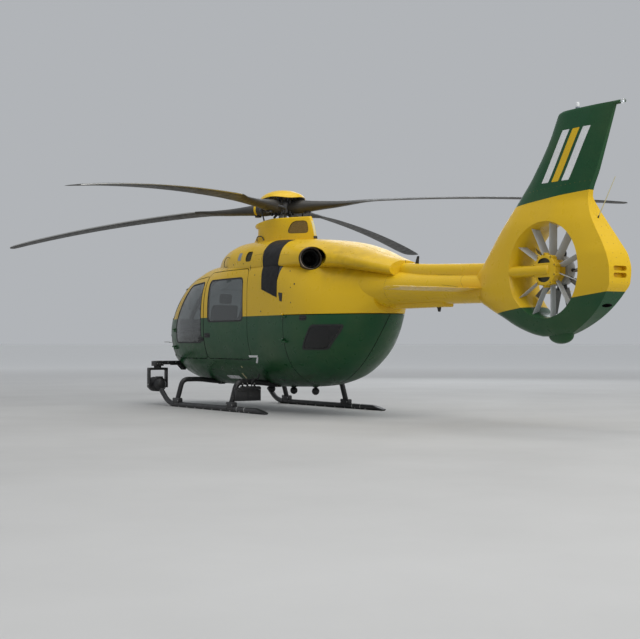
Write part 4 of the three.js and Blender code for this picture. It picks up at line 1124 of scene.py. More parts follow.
def build_tail():
    split = prism(FIN_SPLIT, "xz", -FAR, FAR)
    housing = carve(solid(tail_form()), solid(duct_form(), 0), solid(body(BOOM, 0.003), 0))
    for z in (1.714, 1.788):
        slot = rounded(oblong((-0.095, 0.095), about(z, 0.026)), 0.026, 0, 8)
        carve(housing, solid(prism(slot, "yz", -7.1, -6.925), 0))
    lower = carve(copied(housing), split)
    carve(lower, solid(ball((-6.09, 0, 1.082), (0.19, 0.072, 0.095), 48, 24), 0), how="UNION")
    # The oval recess under the trailing edge takes slot 1, the black seal colour, as painted shade inside it.
    carve(lower, solid(ball((-6.8, 0, 1.398), (0.11, 0.074, 0.02), 48, 16), 1))
    skins = [PAINT["tail"], SEAL_AND_SHADE, SEAL_AND_SHADE]
    finish(lower, "tail_housing", skins, "yellow_paint", "tail_shroud", smooth=30)
    finish(carve(housing, split, how="INTERSECT"), "fin_skin", skins, "green_paint", "vertical_fin", smooth=30)


def build_boom():
    skins = [PAINT["yellow"], LINING, SEAL_AND_SHADE]
    boom = carve(solid(body(BOOM)), solid(prism(rounded(BOOM_KEEL, 0.02), "xz", -0.085, 0.085), 0), how="UNION")
    finish(carve(boom, solid(tail_form(-0.004), 0)), "boom_skin", skins, "yellow_paint", "tail_boom")
    cover = carve(solid(body(SHAFT_COVER)), solid(body(BOOM, 0.002), 0), solid(tail_form(-0.004), 0))
    finish(cover, "shaft_cover_skin", skins, "yellow_paint", "shaft_cover")


# Main rotor

def aerofoil(count=28):
    """Points round a wing section of chord 1 and thickness 1, from the leading edge over the top."""
    along = 0.5 * (1 - np.cos(np.linspace(0, math.pi, count + 1)))
    half = (2.969 * np.sqrt(along) - 1.26 * along - 3.516 * along ** 2 + 2.843 * along ** 3 - 1.015 * along ** 4)
    half = half / half.max() / 2 + 0.012
    upper = np.column_stack([0.5 - along, half])
    lower = np.column_stack([0.5 - along, -half * 0.82])[1:-1][::-1]
    return np.vstack([upper, lower])


def pitched(section, degrees):
    """A section's two axes, turned by its pitch."""
    sin, cos = math.sin(math.radians(degrees)), math.cos(math.radians(degrees))
    return section[:, 0] * cos - section[:, 1] * sin, section[:, 0] * sin + section[:, 1] * cos


BLADE_CHORD = 0.289
BLADE_ROWS = [
    # distance from the axis, width, thickness, how oval, pitch in degrees
    (0.104, 0.165, 0.172, 1.0, 0), (0.3, 0.222, 0.2, 1.0, 0), (0.52, 0.212, 0.155, 1.0, 2),
    (0.85, 0.19, 0.105, 1.0, 7), (1.15, 0.205, 0.07, 0.6, 10), (1.4, 0.27, 0.044, 0.1, 10),
    (1.6, 0.289, 0.036, 0.0, 9), (2.6, 0.289, 0.035, 0.0, 6), (3.6, 0.289, 0.034, 0.0, 3),
    (4.6, 0.289, 0.032, 0.0, 0), (5.0, 0.262, 0.026, 0.0, -1), (5.13, 0.215, 0.02, 0.0, -1),
    (5.2, 0.12, 0.012, 0.0, -1),
]


def blade_rings():
    wing = aerofoil()
    turn = np.arange(len(wing)) * TAU / len(wing)
    circle = np.column_stack([np.cos(turn), np.sin(turn)]) / 2
    rings = []
    for reach, width, thick, oval, pitch in eased(BLADE_ROWS, 6):
        oval = min(max(oval, 0), 1)
        section = (wing * (1 - oval) + circle * oval) * np.array([width, thick])
        section[:, 0] += (1 - oval) * max(BLADE_CHORD - width, 0) * -0.4
        across, up = pitched(section, pitch)
        share = max(reach - 0.3, 0) / (ROTOR["radius"] - 0.3)
        sag = -ROTOR["droop"] * share ** ROTOR["droop_power"] - 0.025 * oval
        rings.append(np.column_stack([np.full(len(across), reach), across, sag + up]))
    return rings


BLADE_ANGLES = [ROTOR["first"] + i * 360 / ROTOR["blades"] for i in range(ROTOR["blades"])]


def in_rotor(form, angle=0.0):
    """From the rotor's own frame, hub at the origin, to the mast's."""
    return placed(turned(turned(form, angle, "Z"), ROTOR["tilt"], "Y"), 0, 0, ROTOR["hub_z"])


def build_rotor():
    rings = blade_rings()
    skin, edge = loft(rings), leading_strip(rings)
    for number, angle in enumerate(BLADE_ANGLES, 1):
        parts = Parts([(skin, BLADE), (edge, STEEL)])
        if number == 1:
            band = [ring_grown(ring_at(rings, reach), 0.0012) for reach in (0.407, 0.425, 0.443)]
            parts.add(PAINT["yellow"], loft(band))
        piece(f"blade_{number}", parts.each(in_rotor, angle), "blade", f"rotor_blade_{number}", "main_rotor", 40)
    build_hub()
    build_cap()


def ring_at(rings, reach):
    """The section between two rings of a blade, at a distance from the axis."""
    for inner, outer in zip(rings, rings[1:]):
        if inner[0][0] <= reach < outer[0][0]:
            return inner + (outer - inner) * (reach - inner[0][0]) / (outer[0][0] - inner[0][0])


def ring_grown(ring, grow):
    out = ring - ring.mean(axis=0)
    return ring + out * (grow / np.linalg.norm(out, axis=1)[:, None])


def leading_strip(rings, reach=4):
    """A metal strip bent round the leading edge."""
    strip = []
    for ring in rings:
        if 1.45 < ring[0][0] < 5.15:
            nose = np.vstack([ring[-reach:], ring[:reach + 1]])
            out = nose - ring.mean(axis=0)
            strip.append(np.vstack([nose + out * 0.006, (nose - out * 0.02)[::-1]]))
    return loft(strip)


def build_hub():
    barrel = [(0, -0.125), (0.12, -0.125), (0.14, -0.105), (0.145, -0.02), (0.15, 0.045), (0.14, 0.065), (0, 0.065)]
    swash = [(0.063, -0.3), (0.16, -0.296), (0.172, -0.285), (0.172, -0.262), (0.16, -0.25), (0.063, -0.248)]
    plate = [(0.063, -0.244), (0.15, -0.244), (0.165, -0.236), (0.165, -0.215), (0.15, -0.205), (0.063, -0.203)]
    parts = Parts().add(HUB_GREY, lathe(barrel, sides=64)).add(FAN_GREY, rod(0.062, "z", (0, 0, 0), -0.655, 0.14, 48))
    parts.add(HUB_GREY, lathe(swash, sides=64)).add(FAN_GREY, lathe(plate, sides=64))
    parts.add(HUB_GREY, *around(placed(stud(0.006, 0.006), 0.125, 0, 0.063), 24))
    horn, low = (0.262, 0.18), (0.232, 0.15)
    root = Parts().add(BLACK, *[rod(0.019, "z", (0.15, y, 0), -0.135, 0.095, 20, 0.003) for y in (-0.055, 0.055)],
                       rod(0.052, "z", (0.42, 0, 0), -0.135, -0.105, 32, 0.006))
    arm = through([(0.33, 0.095, -0.03), (0.3, 0.15, -0.045), (0.262, 0.178, -0.06)])
    root.add(HUB_GREY, tube(arm, 0.024, 14)).add(BLACK, tube([(*horn, -0.075), (*low, -0.235)], 0.011, 14))
    root.add(HUB_GREY, *[ball(place, 0.019, 16, 10) for place in ((*horn, -0.07), (*low, -0.232))],
             tube([(*low, -0.232), (0.12, 0.06, -0.225)], 0.013))
    for angle in BLADE_ANGLES:
        parts += root.each(turned, angle, "Z")
    upper_link = tube([(0.066, 0, -0.1), (0.13, 0, -0.165), (0.1, 0, -0.228)], 0.012, 12, 1.6)
    lower_link = tube([(0.15, 0, -0.295), (0.165, 0, -0.395)], 0.012)
    parts.add(HUB_GREY, *around(upper_link, 2, 70), *around(lower_link, 4, 20))
    piece("rotor_hub", parts.each(in_rotor), "hub_metal", "rotor_head", "main_rotor", 40)


def cap_shell(rows, count=128):
    """A closed shell of revolution whose rim rises over each blade's root."""
    angle = np.arange(count) * TAU / count
    lift = 0.5 + 0.5 * np.cos(4 * (angle - math.radians(ROTOR["first"])))
    rings = []
    for radius, z in rows:
        height = z + max(0.0, (radius - 0.22) / 0.125) ** 1.5 * 0.022 * (lift - 0.3)
        reach = max(radius, 1e-4)
        rings.append(np.column_stack([reach * np.cos(angle), reach * np.sin(angle), np.broadcast_to(height, count)]))
    return hoop(rings)


def build_cap():
    outer = eased([(0.0, 0.24), (0.09, 0.235), (0.18, 0.217), (0.26, 0.184), (0.315, 0.146), (0.345, 0.104)], 6)
    inner = eased([(0.0, 0.224), (0.18, 0.199), (0.3, 0.138), (0.335, 0.1)], 6)[::-1]
    lining = [(r, z - 0.001) for r, z in inner[::-1]] + [(r, z - 0.0035) for r, z in inner]
    boss = [(0, 0.062), (0.085, 0.066), (0.092, 0.15), (0.13, 0.19), (0.165, 0.192), (0, 0.22)]
    rib = tube([(0.08, 0, 0.15), (0.2, 0, 0.172), (0.315, 0, 0.122)], 0.007, 10)
    bolt = placed(stud(0.008, 0.003), 0.12, 0, 0.229)
    parts = Parts().add(PAINT["yellow"], cap_shell(list(outer) + list(inner)))
    parts.add(BLACK, cap_shell(lining), lathe(boss), *around(rib, 8, ROTOR["first"] + 22.5))
    parts.add(FASTENER, *around(bolt, 12))
    piece("rotor_cap_dome", parts.each(in_rotor), "yellow_paint", "rotor_cap", "main_rotor", 40)


# Tail rotor in its duct

def at_fan(form, angle=0.0):
    return placed(turned(form, angle, "Y"), FAN["x"], 0, FAN["z"])


def fan_blade(chord, thick, inner, outer, pitch_in, pitch_out, y, lean=0.0):
    """A radial aerofoil along local +X, with its axis at height y, more by `lean` at the tip."""
    wing = aerofoil(14)
    rings = []
    for t in np.linspace(0, 1, 10):
        section = wing * np.array([chord, thick * (1 - 0.45 * t)])
        across, depth = pitched(section, pitch_in + (pitch_out - pitch_in) * t)
        rings.append(np.column_stack([np.full(len(wing), inner + (outer - inner) * t), y + lean * t + depth, across]))
    return loft(rings)


def build_fan():
    hub = [(0, -0.001), (0.06, -0.001), (0.06, -0.008), (0.155, -0.008), (0.17, -0.02), (0.172, -0.1),
           (0.16, -0.135), (0.13, -0.16), (0.07, -0.176), (0, -0.18)]
    blade = fan_blade(0.078, 0.013, 0.205, FAN["radius"] - FAN["tip_gap"], 52, 40, -0.08)
    root = tube([(0.15, -0.08, 0), (0.2, -0.08, 0), (0.225, -0.08, 0)], [0.022, 0.02, 0.01], 14)
    bolt = placed(turned(placed(stud(0.007, 0.005), 0.11), 90, "X"), 0, -0.168, 0)
    parts = Parts().add(FAN_HUB, at_fan(lathe(hub, "y", sides=64)))
    for place in FAN["places"]:
        parts.add(FAN_GREY, at_fan(blade, -place)).add(HUB_GREY, at_fan(root, -place))
    parts.add(STEEL, *[at_fan(bolt, i * 45) for i in range(8)])
    piece("fan_rotor", parts, "fan_metal", "tail_fan", "tail_fan", 40)


def build_stator():
    """Gearbox drum on ten vanes, with the drive shaft's tube from the duct's front."""
    profile = [(0, 0.001), (0.146, 0.001), (0.155, 0.012), (0.156, 0.07), (0.141, 0.1), (0.143, 0.106),
               (0.17, 0.108), (0.177, 0.114), (0.177, 0.178), (0.17, 0.187), (0.15, 0.192), (0.06, 0.194), (0, 0.195)]
    drum = solid(at_fan(lathe(profile, "y", sides=96)))
    # The recessed face inside the drum's rim takes slot 1, the dark olive of painted shade.
    for way in (1, -1):
        arc = [(0.0975 * math.cos(a), way * (0.079 + 0.056 * math.sin(a))) for a in np.linspace(0, math.pi, 24)]
        carve(drum, solid(at_fan(prism(arc[::way], "xz", 0.166, 0.4)), 1))
    finish(drum, "stator_gearbox", [PAINT["yellow"], RECESS_SHADE, SEAL_AND_SHADE], "grey_paint", "tail_stator", smooth=30, bevel=0.002)
    boss = rod(0.022, "y", (0.174, 0, 0), 0.106, 0.187, 20, 0.004)
    bolt = rod(0.009, "y", (0.174, 0, 0), 0.186, 0.194, 6)
    shaft = [(0, -0.085), (0.04, -0.082), (0.058, -0.07), (0.063, -0.05), (0.063, 0.4), (0.067, 0.44),
             (0.067, 0.556), (0, 0.556)]
    vane = fan_blade(0.104, 0.018, 0.15, FAN["radius"] + 0.035, 104, 100, 0.074, 0.045)
    parts = Parts()
    for i in range(10):
        parts.add(PAINT["yellow"], at_fan(boss, 18 + 36 * i)).add(FASTENER, at_fan(bolt, 18 + 36 * i))
    parts.add(PAINT["yellow"], at_fan(lathe(shaft, "x", (0, 0.162, 0))))
    parts.add(STATOR_GREY, *[at_fan(vane, -i * 360 / 11) for i in range(1, 11)])
    piece("stator_vanes", parts, "grey_paint", "tail_stator", smooth=40)


STABILISER = {"x": -4.69, "z": 1.64, "half_span": 1.325, "chord": 0.45, "thick": 0.052, "taper": 0.86}


def build_stabiliser():
    wing = aerofoil(30)
    s = STABILISER
    span, taper = s["half_span"], s["taper"]
    rings = []
    for y, size in eased([(0.06, 1.0), (span - 0.05, taper), (span - 0.01, taper * 0.95), (span, taper * 0.86)], 6):
        x, z = (wing * np.array([s["chord"], s["thick"]]) * size).T
        rings.append(np.column_stack([s["x"] + x, np.full(len(wing), y), s["z"] + z - 0.03 * x]))
    for side in BOTH:
        obj = carve(solid(on_side(loft(rings), side)), solid(body(BOOM, 0.004), 0), solid(tail_form(-0.004), 0))
        name = SIDE_NAME[side]
        finish(obj, f"stabiliser_skin_{name}", PAINT["yellow"], "yellow_paint", f"stabiliser_{name}")


# Landing gear

# x and radius of each tube, and the y and z of the path that both follow
CROSS_TUBES = {"front": (1.55, 0.038), "rear": (-0.225, 0.04)}
ELBOW_Z = 0.43
LEG = [(0, 0.392), (0.3, 0.392), (0.6, ELBOW_Z), (0.91, ELBOW_Z), (1.0, 0.11)]


def boxy(x, y, z, corner=0.012):
    """A block whose upright edges are rounded."""
    return prism(rounded(oblong(x, y), corner, 0, 4), "xy", *z)


def sleeve(inner, outer, axis, centre, low, high, sides=40, chamfer=0.001):
    return lathe([(inner, low), (outer - chamfer, low), (outer, low + chamfer), (outer, high - chamfer),
                  (outer - chamfer, high), (inner, high)], axis, centre, sides)


def ribbon(path, width, thick, across=(0, 1, 0)):
    """A flat strap along a path."""
    across = np.array(across, float) * width / 2
    rings = []
    for point, along in zip(path, np.gradient(path, axis=0)):
        out = np.cross(along, across)
        out = out / np.linalg.norm(out) * thick / 2
        rings.append([point - across - out, point + across - out, point + across + out, point - across + out])
    return loft(rings)


def build_skids():
    s = SKID
    radius, track, rear = s["radius"], s["track"], s["rear"]
    height = radius + 0.0001
    path = bent([(rear, track, height), (s["front"] + s["bend"], track, height), (s["tip"][0], track, s["tip"][1])],
                s["bend"], 12)
    bevel = prism([(s["bevel"], 2 * height), (rear - 0.06, 2 * height), (rear - 0.06, 0.012)], "xz", 0.9, 1.1)
    plug = lathe([(0, -0.01), (0.034, -0.01), (0.036, 0.001), (0.028, 0.004), (0, 0.002)], sides=32)
    for side in BOTH:
        name = f"skid_{SIDE_NAME[side]}"
        skid = carve(solid(on_side(tube(path, radius, 40), side)), on_side(bevel, side))
        finish(skid, name.replace("skid", "skid_tube"), BLACK, "black_metal", name)
    parts = Parts()
    for x in (rear + 0.8, rear + 0.58):
        parts.add(ALLOY, sleeve(radius - 0.001, radius + 0.0025, "x", (x, track, height + 0.0025), -0.007, 0.007))
    parts.add(AMBER, set_on(plug, Vector(path[-1]), path[-1] - path[-2]))
    parts.add(BLACK_PLASTIC, boxy((-0.9, 1.8), about(track, 0.02), (0.0003, 0.008), 0.004))
    parts.add(STEEL, *[rod(0.007, "y", (x, track, 0.012), -0.0425, 0.0425, 12, 0.001)
                       for x in np.arange(-0.8, 1.75, 0.28)])
    pair("skid_fittings_{}", parts, "black_metal", "skid_{}")


def build_cross_tubes():
    for name, (x, radius) in CROSS_TUBES.items():
        half = bent([(x, y, z) for y, z in LEG], 0.1, 10)
        parts = Parts().add(BLACK, tube(np.vstack([half[::-1] * MIRROR, half[1:]]), radius, 40))
        port = Parts().add(BLACK, leg_shoe(x))
        for dx in (-0.086, 0.086):
            port.add(STEEL, *[rod(0.008, "y", (x + dx, y, 0.1), 0, 0.008, 6) for y in (0.958, 1.034)])
            port.add(BLACK, sleeve(0.0395, 0.0445, "x", (x, 1.0, 0.0448), dx - 0.012, dx + 0.012))
        bracket = [(x - 0.055, 0.346), (x + 0.055, 0.346), (x + 0.07, 0.455), (x - 0.07, 0.455)]
        port.add(BLACK, prism(rounded(bracket, 0.015), "xz", 0.182, 0.25))
        port.add(STEEL, *[rod(0.008, "y", (x + dx, 0.215, 0.362), -0.04, 0.04, 6) for dx in (-0.046, 0.046)])
        for side in BOTH:
            parts += port.on(side)
        piece(f"cross_tube_{name}_leg", parts, "black_metal", f"cross_tube_{name}", bevel=0.0015)


def leg_shoe(x):
    """The clamp that joins a leg to its skid, flat on top."""
    rows = ((0.05, 0.104, 0.036), (0.085, 0.11, 0.038), (0.128, 0.11, 0.038), (0.14, 0.1, 0.032))
    return loft([[(px, py, z) for px, py in rounded(oblong(about(x, half_x), about(1, half_y)), 0.014)]
                 for z, half_x, half_y in rows])


# Searchlight and equipment below the port side

def build_searchlight_arm():
    x, y = LIGHT["x"], LIGHT["y"]
    parts = Parts().add(BLACK, prism(rounded(oblong(about(x, 0.05), (0.65, 0.712)), 0.012), "xz", 0.2, y + 0.03),
                        boxy(about(x, 0.09), about(y, 0.075), (0.628, 0.704), 0.022))
    parts.add(BLACK_PLASTIC, boxy(about(x, 0.062), about(y, 0.052), (0.703, 0.71), 0.016),
              boxy((x - 0.062, x - 0.01), (0.56, 0.7), (0.64, 0.652), 0.006))
    bolt = [(0, 0.7), (0.008, 0.7), (0.008, 0.709), (0.006, 0.711), (0, 0.711)]
    parts.add(STEEL, *[lathe(bolt, centre=(x + dx, y + dy, 0), sides=12)
                       for dx in (-0.074, 0.074) for dy in (-0.06, 0.06)])
    parts.add(STEEL, *[rod(0.007, "x", (x - 0.091, y + dy, 0.665), -0.004, 0.001, 12) for dy in (-0.045, 0, 0.045)])
    hose = [(x - 0.06, y - 0.05, 0.69), (x - 0.062, y - 0.12, 0.7), (x - 0.06, 0.6, 0.69), (x - 0.058, 0.48, 0.69),
            (x - 0.056, 0.38, 0.692)]
    parts.add(BLACK_PLASTIC, tube(through(hose), 0.009))
    parts.add(STEEL, *[sleeve(0.008, 0.012, "y", (x - 0.06, place, 0.69), -0.006, 0.006, 20)
                       for place in (0.48, 0.62, 0.76)])
    brace = rounded([(0.4, 0.655), (0.56, 0.655), (0.47, 0.56), (0.43, 0.56)], 0.01)
    parts.add(BLACK, *[prism(brace, "yz", x + dx, x + dx + 0.012) for dx in (-0.046, 0.034)])
    piece("searchlight_bracket", parts, "black_metal", "searchlight_arm", bevel=0.002)


def build_searchlight_yoke():
    x, y, axis, half = LIGHT["x"], LIGHT["y"], LIGHT["axis_z"], LIGHT["half_span"]
    foot, inner, top = axis - 0.055, half - 0.022, 0.6
    fork = [(y - half, foot), (y - half, top), (y + half, top), (y + half, foot),
            (y + inner, foot), (y + inner, 0.562), (y - inner, 0.562), (y - inner, foot)]
    parts = Parts().add(BLACK, prism(rounded(fork, 0.014), "yz", *about(x, 0.048)),
                        rod(0.06, "z", (x, y, 0), 0.59, 0.6277, 48, 0.003))
    for side in BOTH:
        ends = sorted((side * (half + 0.004), side * (half - 0.028)))
        parts.add(BLACK, rod(0.044, "y", (x, y, axis), *ends, 40, 0.004))
        parts.add(STEEL, rod(0.012, "y", (x, y, axis), *about(side * half, 0.009), 6))
    parts.add(STEEL, *[placed(stud(0.007, 0.004, 12), x + dx, y + dy, top)
                       for dx in (-0.034, 0.034) for dy in (-0.1, 0.1)])
    piece("searchlight_fork", parts, "black_metal", "searchlight_yoke", "searchlight_yoke", bevel=0.002)


def build_searchlight_lamp():
    x, y, z = centre = (LIGHT["x"], LIGHT["y"], LIGHT["axis_z"])
    shell = [(0, -0.17), (0.04, -0.168), (0.066, -0.16), (0.096, -0.12), (0.108, -0.088), (0.113, -0.06),
             (0.113, 0.1), (0.118, 0.108), (0.118, 0.15), (0.114, 0.162), (0.106, 0.165), (0.101, 0.162),
             (0.099, 0.136), (0.08, 0.08), (0.03, 0.03), (0, 0.026)]
    mirror = [(0.012, 0.038), (0.032, 0.04), (0.081, 0.088), (0.0985, 0.136), (0.0985, 0.139), (0.08, 0.091),
              (0.031, 0.043), (0.012, 0.041)]
    lens = [(0, 0.15), (0.0985, 0.148), (0.0985, 0.152), (0.06, 0.155), (0, 0.156)]
    parts = Parts().add(BLACK, lathe(shell, "x", centre, 80), *[
        sleeve(0.11, 0.1175, "x", centre, *about(fin, 0.003), 80) for fin in np.linspace(-0.085, 0.06, 10)])
    parts.add(REFLECTOR, lathe(mirror, "x", centre, 64))
    parts.add(WHITE, rod(0.011, "x", centre, 0.03, 0.075, 24, 0.004))
    parts.add(LENS, lathe(lens, "x", centre, 64))
    for side in BOTH:
        parts.add(BLACK, rod(0.022, "y", centre, *sorted((side * 0.105, side * 0.1427)), 32, 0.002),
                  rod(0.04, "y", centre, *sorted((side * 0.1, side * 0.124)), 40, 0.004))
    parts.add(BLACK, boxy((x - 0.12, x - 0.01), about(y, 0.045), (z + 0.095, z + 0.128), 0.01))
    piece("searchlight_head", parts, "black_metal", "searchlight_lamp", "searchlight_lamp")


def build_equipment_box():
    rear, low, top = -0.33, 0.155, 0.34
    tube_x, tube_radius = CROSS_TUBES["rear"]
    parts = Parts().add(BLACK, boxy((rear + 0.056, -0.18), (0.56, 0.852), (low, top), 0.014),
                        boxy((rear + 0.004, rear + 0.058), (0.56, 0.98), (low, 0.318)),
                        boxy((rear, rear + 0.058), (0.558, 0.982), (0.321, top + 0.012)))
    for y0, y1 in ((0.572, 0.762), (0.778, 0.968)):
        edge = prism(rounded(oblong((y0, y1), (0.172, 0.305)), 0.008), "yz", rear, rear + 0.006)
        inner = rounded(oblong((y0 + 0.012, y1 - 0.012), (0.184, 0.293)), 0.006)
        parts.add(BLACK, form_of(carve(solid(edge), prism(inner, "yz", rear - 0.01, rear + 0.02))))
        catch = rounded(oblong(about((y0 + y1) / 2, 0.012), (0.306, 0.33)), 0.004)
        parts.add(HUB_GREY, prism(catch, "yz", rear - 0.003, rear + 0.006))
    rib = rounded(oblong((0.767, 0.773), (0.172, 0.305)), 0.002)
    parts.add(HUB_GREY, prism(rib, "yz", rear - 0.0005, rear + 0.006))
    for x in (-0.325, -0.21):
        parts.add(BLACK, prism(rounded(oblong((x, x + 0.025), (0.335, 0.366)), 0.004), "xz", 0.57, 0.835))
        parts.add(STEEL, *[rod(0.006, "z", (x + 0.0125, y, 0), 0.365, 0.372, 6) for y in (0.6, 0.7, 0.81)])
    # Straps and a hose between the box and the tube above it
    for y in (0.64, 0.76, 0.84):
        strap = [(y - 0.016, 0.352), (y + 0.016, 0.352), (y + 0.012, 0.476), (y - 0.012, 0.476)]
        parts.add(BLACK, prism(rounded(strap, 0.006), "yz", -0.272, -0.266),
                  sleeve(tube_radius + 0.0005, tube_radius + 0.0055, "y", (tube_x, y, ELBOW_Z), -0.014, 0.014))
        parts.add(STEEL, rod(0.007, "x", (-0.272, y, 0.41), -0.006, 0.0, 6))
    hose = [(-0.3, 0.7, 0.35), (-0.304, 0.706, 0.42), (-0.296, 0.66, 0.465), (-0.29, 0.6, 0.48), (-0.28, 0.56, 0.54)]
    parts.add(BLACK_PLASTIC, tube(through(hose), 0.01, 14))
    piece("equipment_case", parts, "black_metal", "equipment_box", bevel=0.002)


def form_of(obj):
    """A cut object turned back into a form."""
    form = points_of(obj), [tuple(p.vertices) for p in obj.data.polygons]
    bpy.data.objects.remove(obj)
    return form


def build_belly_aerials():
    parts = Parts()
    for x, z in ((0.32, 0.3), (-0.33, 0.295), (-0.94, 0.3)):
        skin = POD_SURFACE.below(x, 0)[0].z
        parts.add(BLACK_PLASTIC, ball((x, 0, z), 0.055, 40, 24))
        parts.add(BLACK, sleeve(0.054, 0.0556, "z", (x, 0, z), -0.004, 0.004, 48),
                  lathe([(0, z), (0.022, z), (0.022, skin - 0.012), (0.045, skin - 0.004), (0.045, skin + 0.02),
                         (0, skin + 0.02)], centre=(x, 0, 0), sides=32))
    piece("belly_aerials", parts, "black_plastic", "belly_shell")


# Cabin

CLOTH_FRAMES = 20
SEAT_LEAN = 11.5
PILOT_Y = 0.38
FLOOR_TOP = 0.6603


def slab(x, y, z, corner=0.04, edge=0.02, crown=0.012):
    """A pad before it is filled: rounded in plan and at its edges, with a crowned top."""
    rounding = ((1.0, 0.0), (0.35, 0.25), (0.0, 1.0))
    rings = [(z[0] + edge * height, -edge * share) for share, height in rounding]
    rings += [(z[1] - edge * height, -edge * share) for share, height in rounding[::-1]]
    rings.append((z[1] + crown, -edge - 0.06))
    return loft([np.column_stack([rounded(oblong(x, y), corner, grow), np.full(4 * 7, height)])
                 for height, grow in rings])


def filled(form, cap=0.012, voxel=0.011, pressure=4.0):
    """Blows a pad up by a short cloth simulation and returns it as a form."""
    obj = solid(form)
    change(obj, "REMESH", mode="VOXEL", voxel_size=voxel)
    start = points_of(obj)
    cloth = obj.modifiers.new("cloth", "CLOTH")
    cloth.settings.quality = 5
    cloth.settings.use_pressure = True
    cloth.settings.uniform_pressure_force = pressure
    cloth.settings.effector_weights.gravity = 0.0
    cloth.point_cache.frame_start = 1
    cloth.point_cache.frame_end = CLOTH_FRAMES
    for step in range(1, CLOTH_FRAMES + 1):
        SCENE.frame_set(step)
    settle(obj)
    SCENE.frame_set(1)
    move = points_of(obj) - start
    length = np.linalg.norm(move, axis=1)[:, None]
    end = start + move * np.minimum(1.0, cap / np.maximum(length, 1e-9))
    obj.data.vertices.foreach_set("co", end.ravel())
    return form_of(change(obj, "SUBSURF", levels=1))


def quilted(form, lines, axis, depth=0.007, width=0.01):
    """Sinks sewn channels into the upper side of a pad, across one axis."""
    verts = form[0].copy()
    low, top = verts[:, 2].min(), verts[:, 2].max()
    upper = np.clip((verts[:, 2] - (low + top) / 2) / (top - low) * 4, 0, 1)
    for line in lines:
        verts[:, 2] -= depth * upper * np.exp(-((verts[:, axis] - line) / width) ** 2)
    return verts, form[1]


def piping(form, x, y, height, radius=0.0035):
    """A sewn cord round a pad's upper edge."""
    tree = Surface(form).tree
    points = [np.array(tree.find_nearest(Vector((px, py, height)))[0])
              for px, py in rounded(oblong(x, y), 0.05, 0, 10)]
    turn = np.arange(8) * TAU / 8
    rings = []
    for i, point in enumerate(points):
        along = points[(i + 1) % len(points)] - points[i - 1]
        along /= np.linalg.norm(along)
        side = np.cross((0, 0, 1), along)
        side /= np.linalg.norm(side)
        up = np.cross(along, side)
        rings.append(point + radius * (np.outer(np.cos(turn), side) + np.outer(np.sin(turn), up)))
    return hoop(rings)


def upright(form, foot):
    """Stands a flat pad up: its x runs up the seat back, its z faces forward."""
    s, c = math.sin(math.radians(SEAT_LEAN)), math.cos(math.radians(SEAT_LEAN))
    return moved(form, Matrix(((-s, 0, c, foot[0]), (0, 1, 0, foot[1]), (c, 0, s, foot[2]), (0, 0, 0, 1))))


def build_seats():
    half = 0.222
    seat = quilted(filled(slab((-0.232, 0.252), (-half, half), (0.888, 0.966), 0.05, 0.022)), (-0.075, 0.075), 1)
    back = quilted(filled(slab((0.03, 0.66), (-half, half), (0.03, 0.088), 0.06, 0.02)), (0.16, 0.34, 0.52), 0)
    head = placed(filled(slab((0, 0.15), (-0.105, 0.105), (0.008, 0.068), 0.035, 0.018), 0.008, 0.008),
                  0.715, 0, -0.02)
    edge = (-half - 0.004, half + 0.004)
    seat_cord = piping(seat, (-0.235, 0.255), edge, 0.966)
    back_cord = piping(back, (0.027, 0.663), edge, 0.088)
    # name, x, y of each place, width of the shared frame, node
    rows = [("pilot_seat_left", 1.5, (PILOT_Y,), 0.48, "pilot_seat_left"),
            ("pilot_seat_right", 1.5, (-PILOT_Y,), 0.48, "pilot_seat_right"),
            ("cabin_seat", -0.3, (-0.225, 0.225), 0.9, "cabin_seats")]
    for name, x, places, width, node in rows:
        middle = sum(places) / len(places)
        spots = [(x - 0.262, y, 0.915) for y in places]
        build_seat_frame(name, x, middle, width / 2, spots, node)
        for i, (y, spot) in enumerate(zip(places, spots)):
            tag, fit = (name, 1.0) if len(places) == 1 else (f"{name}_{i + 1}", 0.965)
            narrow = Matrix.Diagonal((1, fit, 1, 1))
            on_seat = Matrix.Translation((x, y, 0)) @ narrow
            pads = [("cushion", 0.8, [(moved(seat, on_seat), FABRIC), (moved(seat_cord, on_seat), WEBBING)]),
                    ("back", 0.8, [(upright(moved(back, narrow), spot), FABRIC),
                                   (upright(moved(back_cord, narrow), spot), WEBBING)]),
                    ("head", 0.85, [(upright(head, spot), FABRIC)])]
            for kind, fill, parts in pads:
                piece(f"{tag}_{kind}", parts, "seat_fabric", node, smooth=60)
            build_belts(tag, x - 0.1, y, half * 0.98, spot, node)


def build_seat_frame(name, x, middle, half, spots, node):
    """Legs, rails, tray, back shell and the headrests' rods."""
    parts = Parts()
    sides = [middle + side * half * 0.7 for side in BOTH]
    for leg in ((x - 0.2, x - 0.15), (x + 0.13, x + 0.18)):
        parts.add(BLACK, *[boxy(leg, about(y, 0.012), (FLOOR_TOP, 0.872), 0.006) for y in sides])
    parts.add(STEEL, *[boxy((x - 0.22, x + 0.2), about(y, 0.018), (FLOOR_TOP, 0.676), 0.006) for y in sides])
    shell = [(0, 0.01 - half), (0.69, 0.02 - half), (0.69, half - 0.02), (0, half - 0.01)]
    parts.add(BLACK_PLASTIC, boxy((x - 0.23, x + 0.235), about(middle, half - 0.012), (0.868, 0.884), 0.03),
              upright(prism(rounded(shell, 0.04), "xy", -0.006, 0.02), (spots[0][0], middle, spots[0][2])))
    parts.add(STEEL, *[upright(tube([(0.66, dy, 0.01), (0.86, dy, 0.01)], 0.006), spot)
                       for spot in spots for dy in (-0.05, 0.05)])
    piece(f"{name}_frame", parts, "seat_fabric", node, bevel=0.0015)


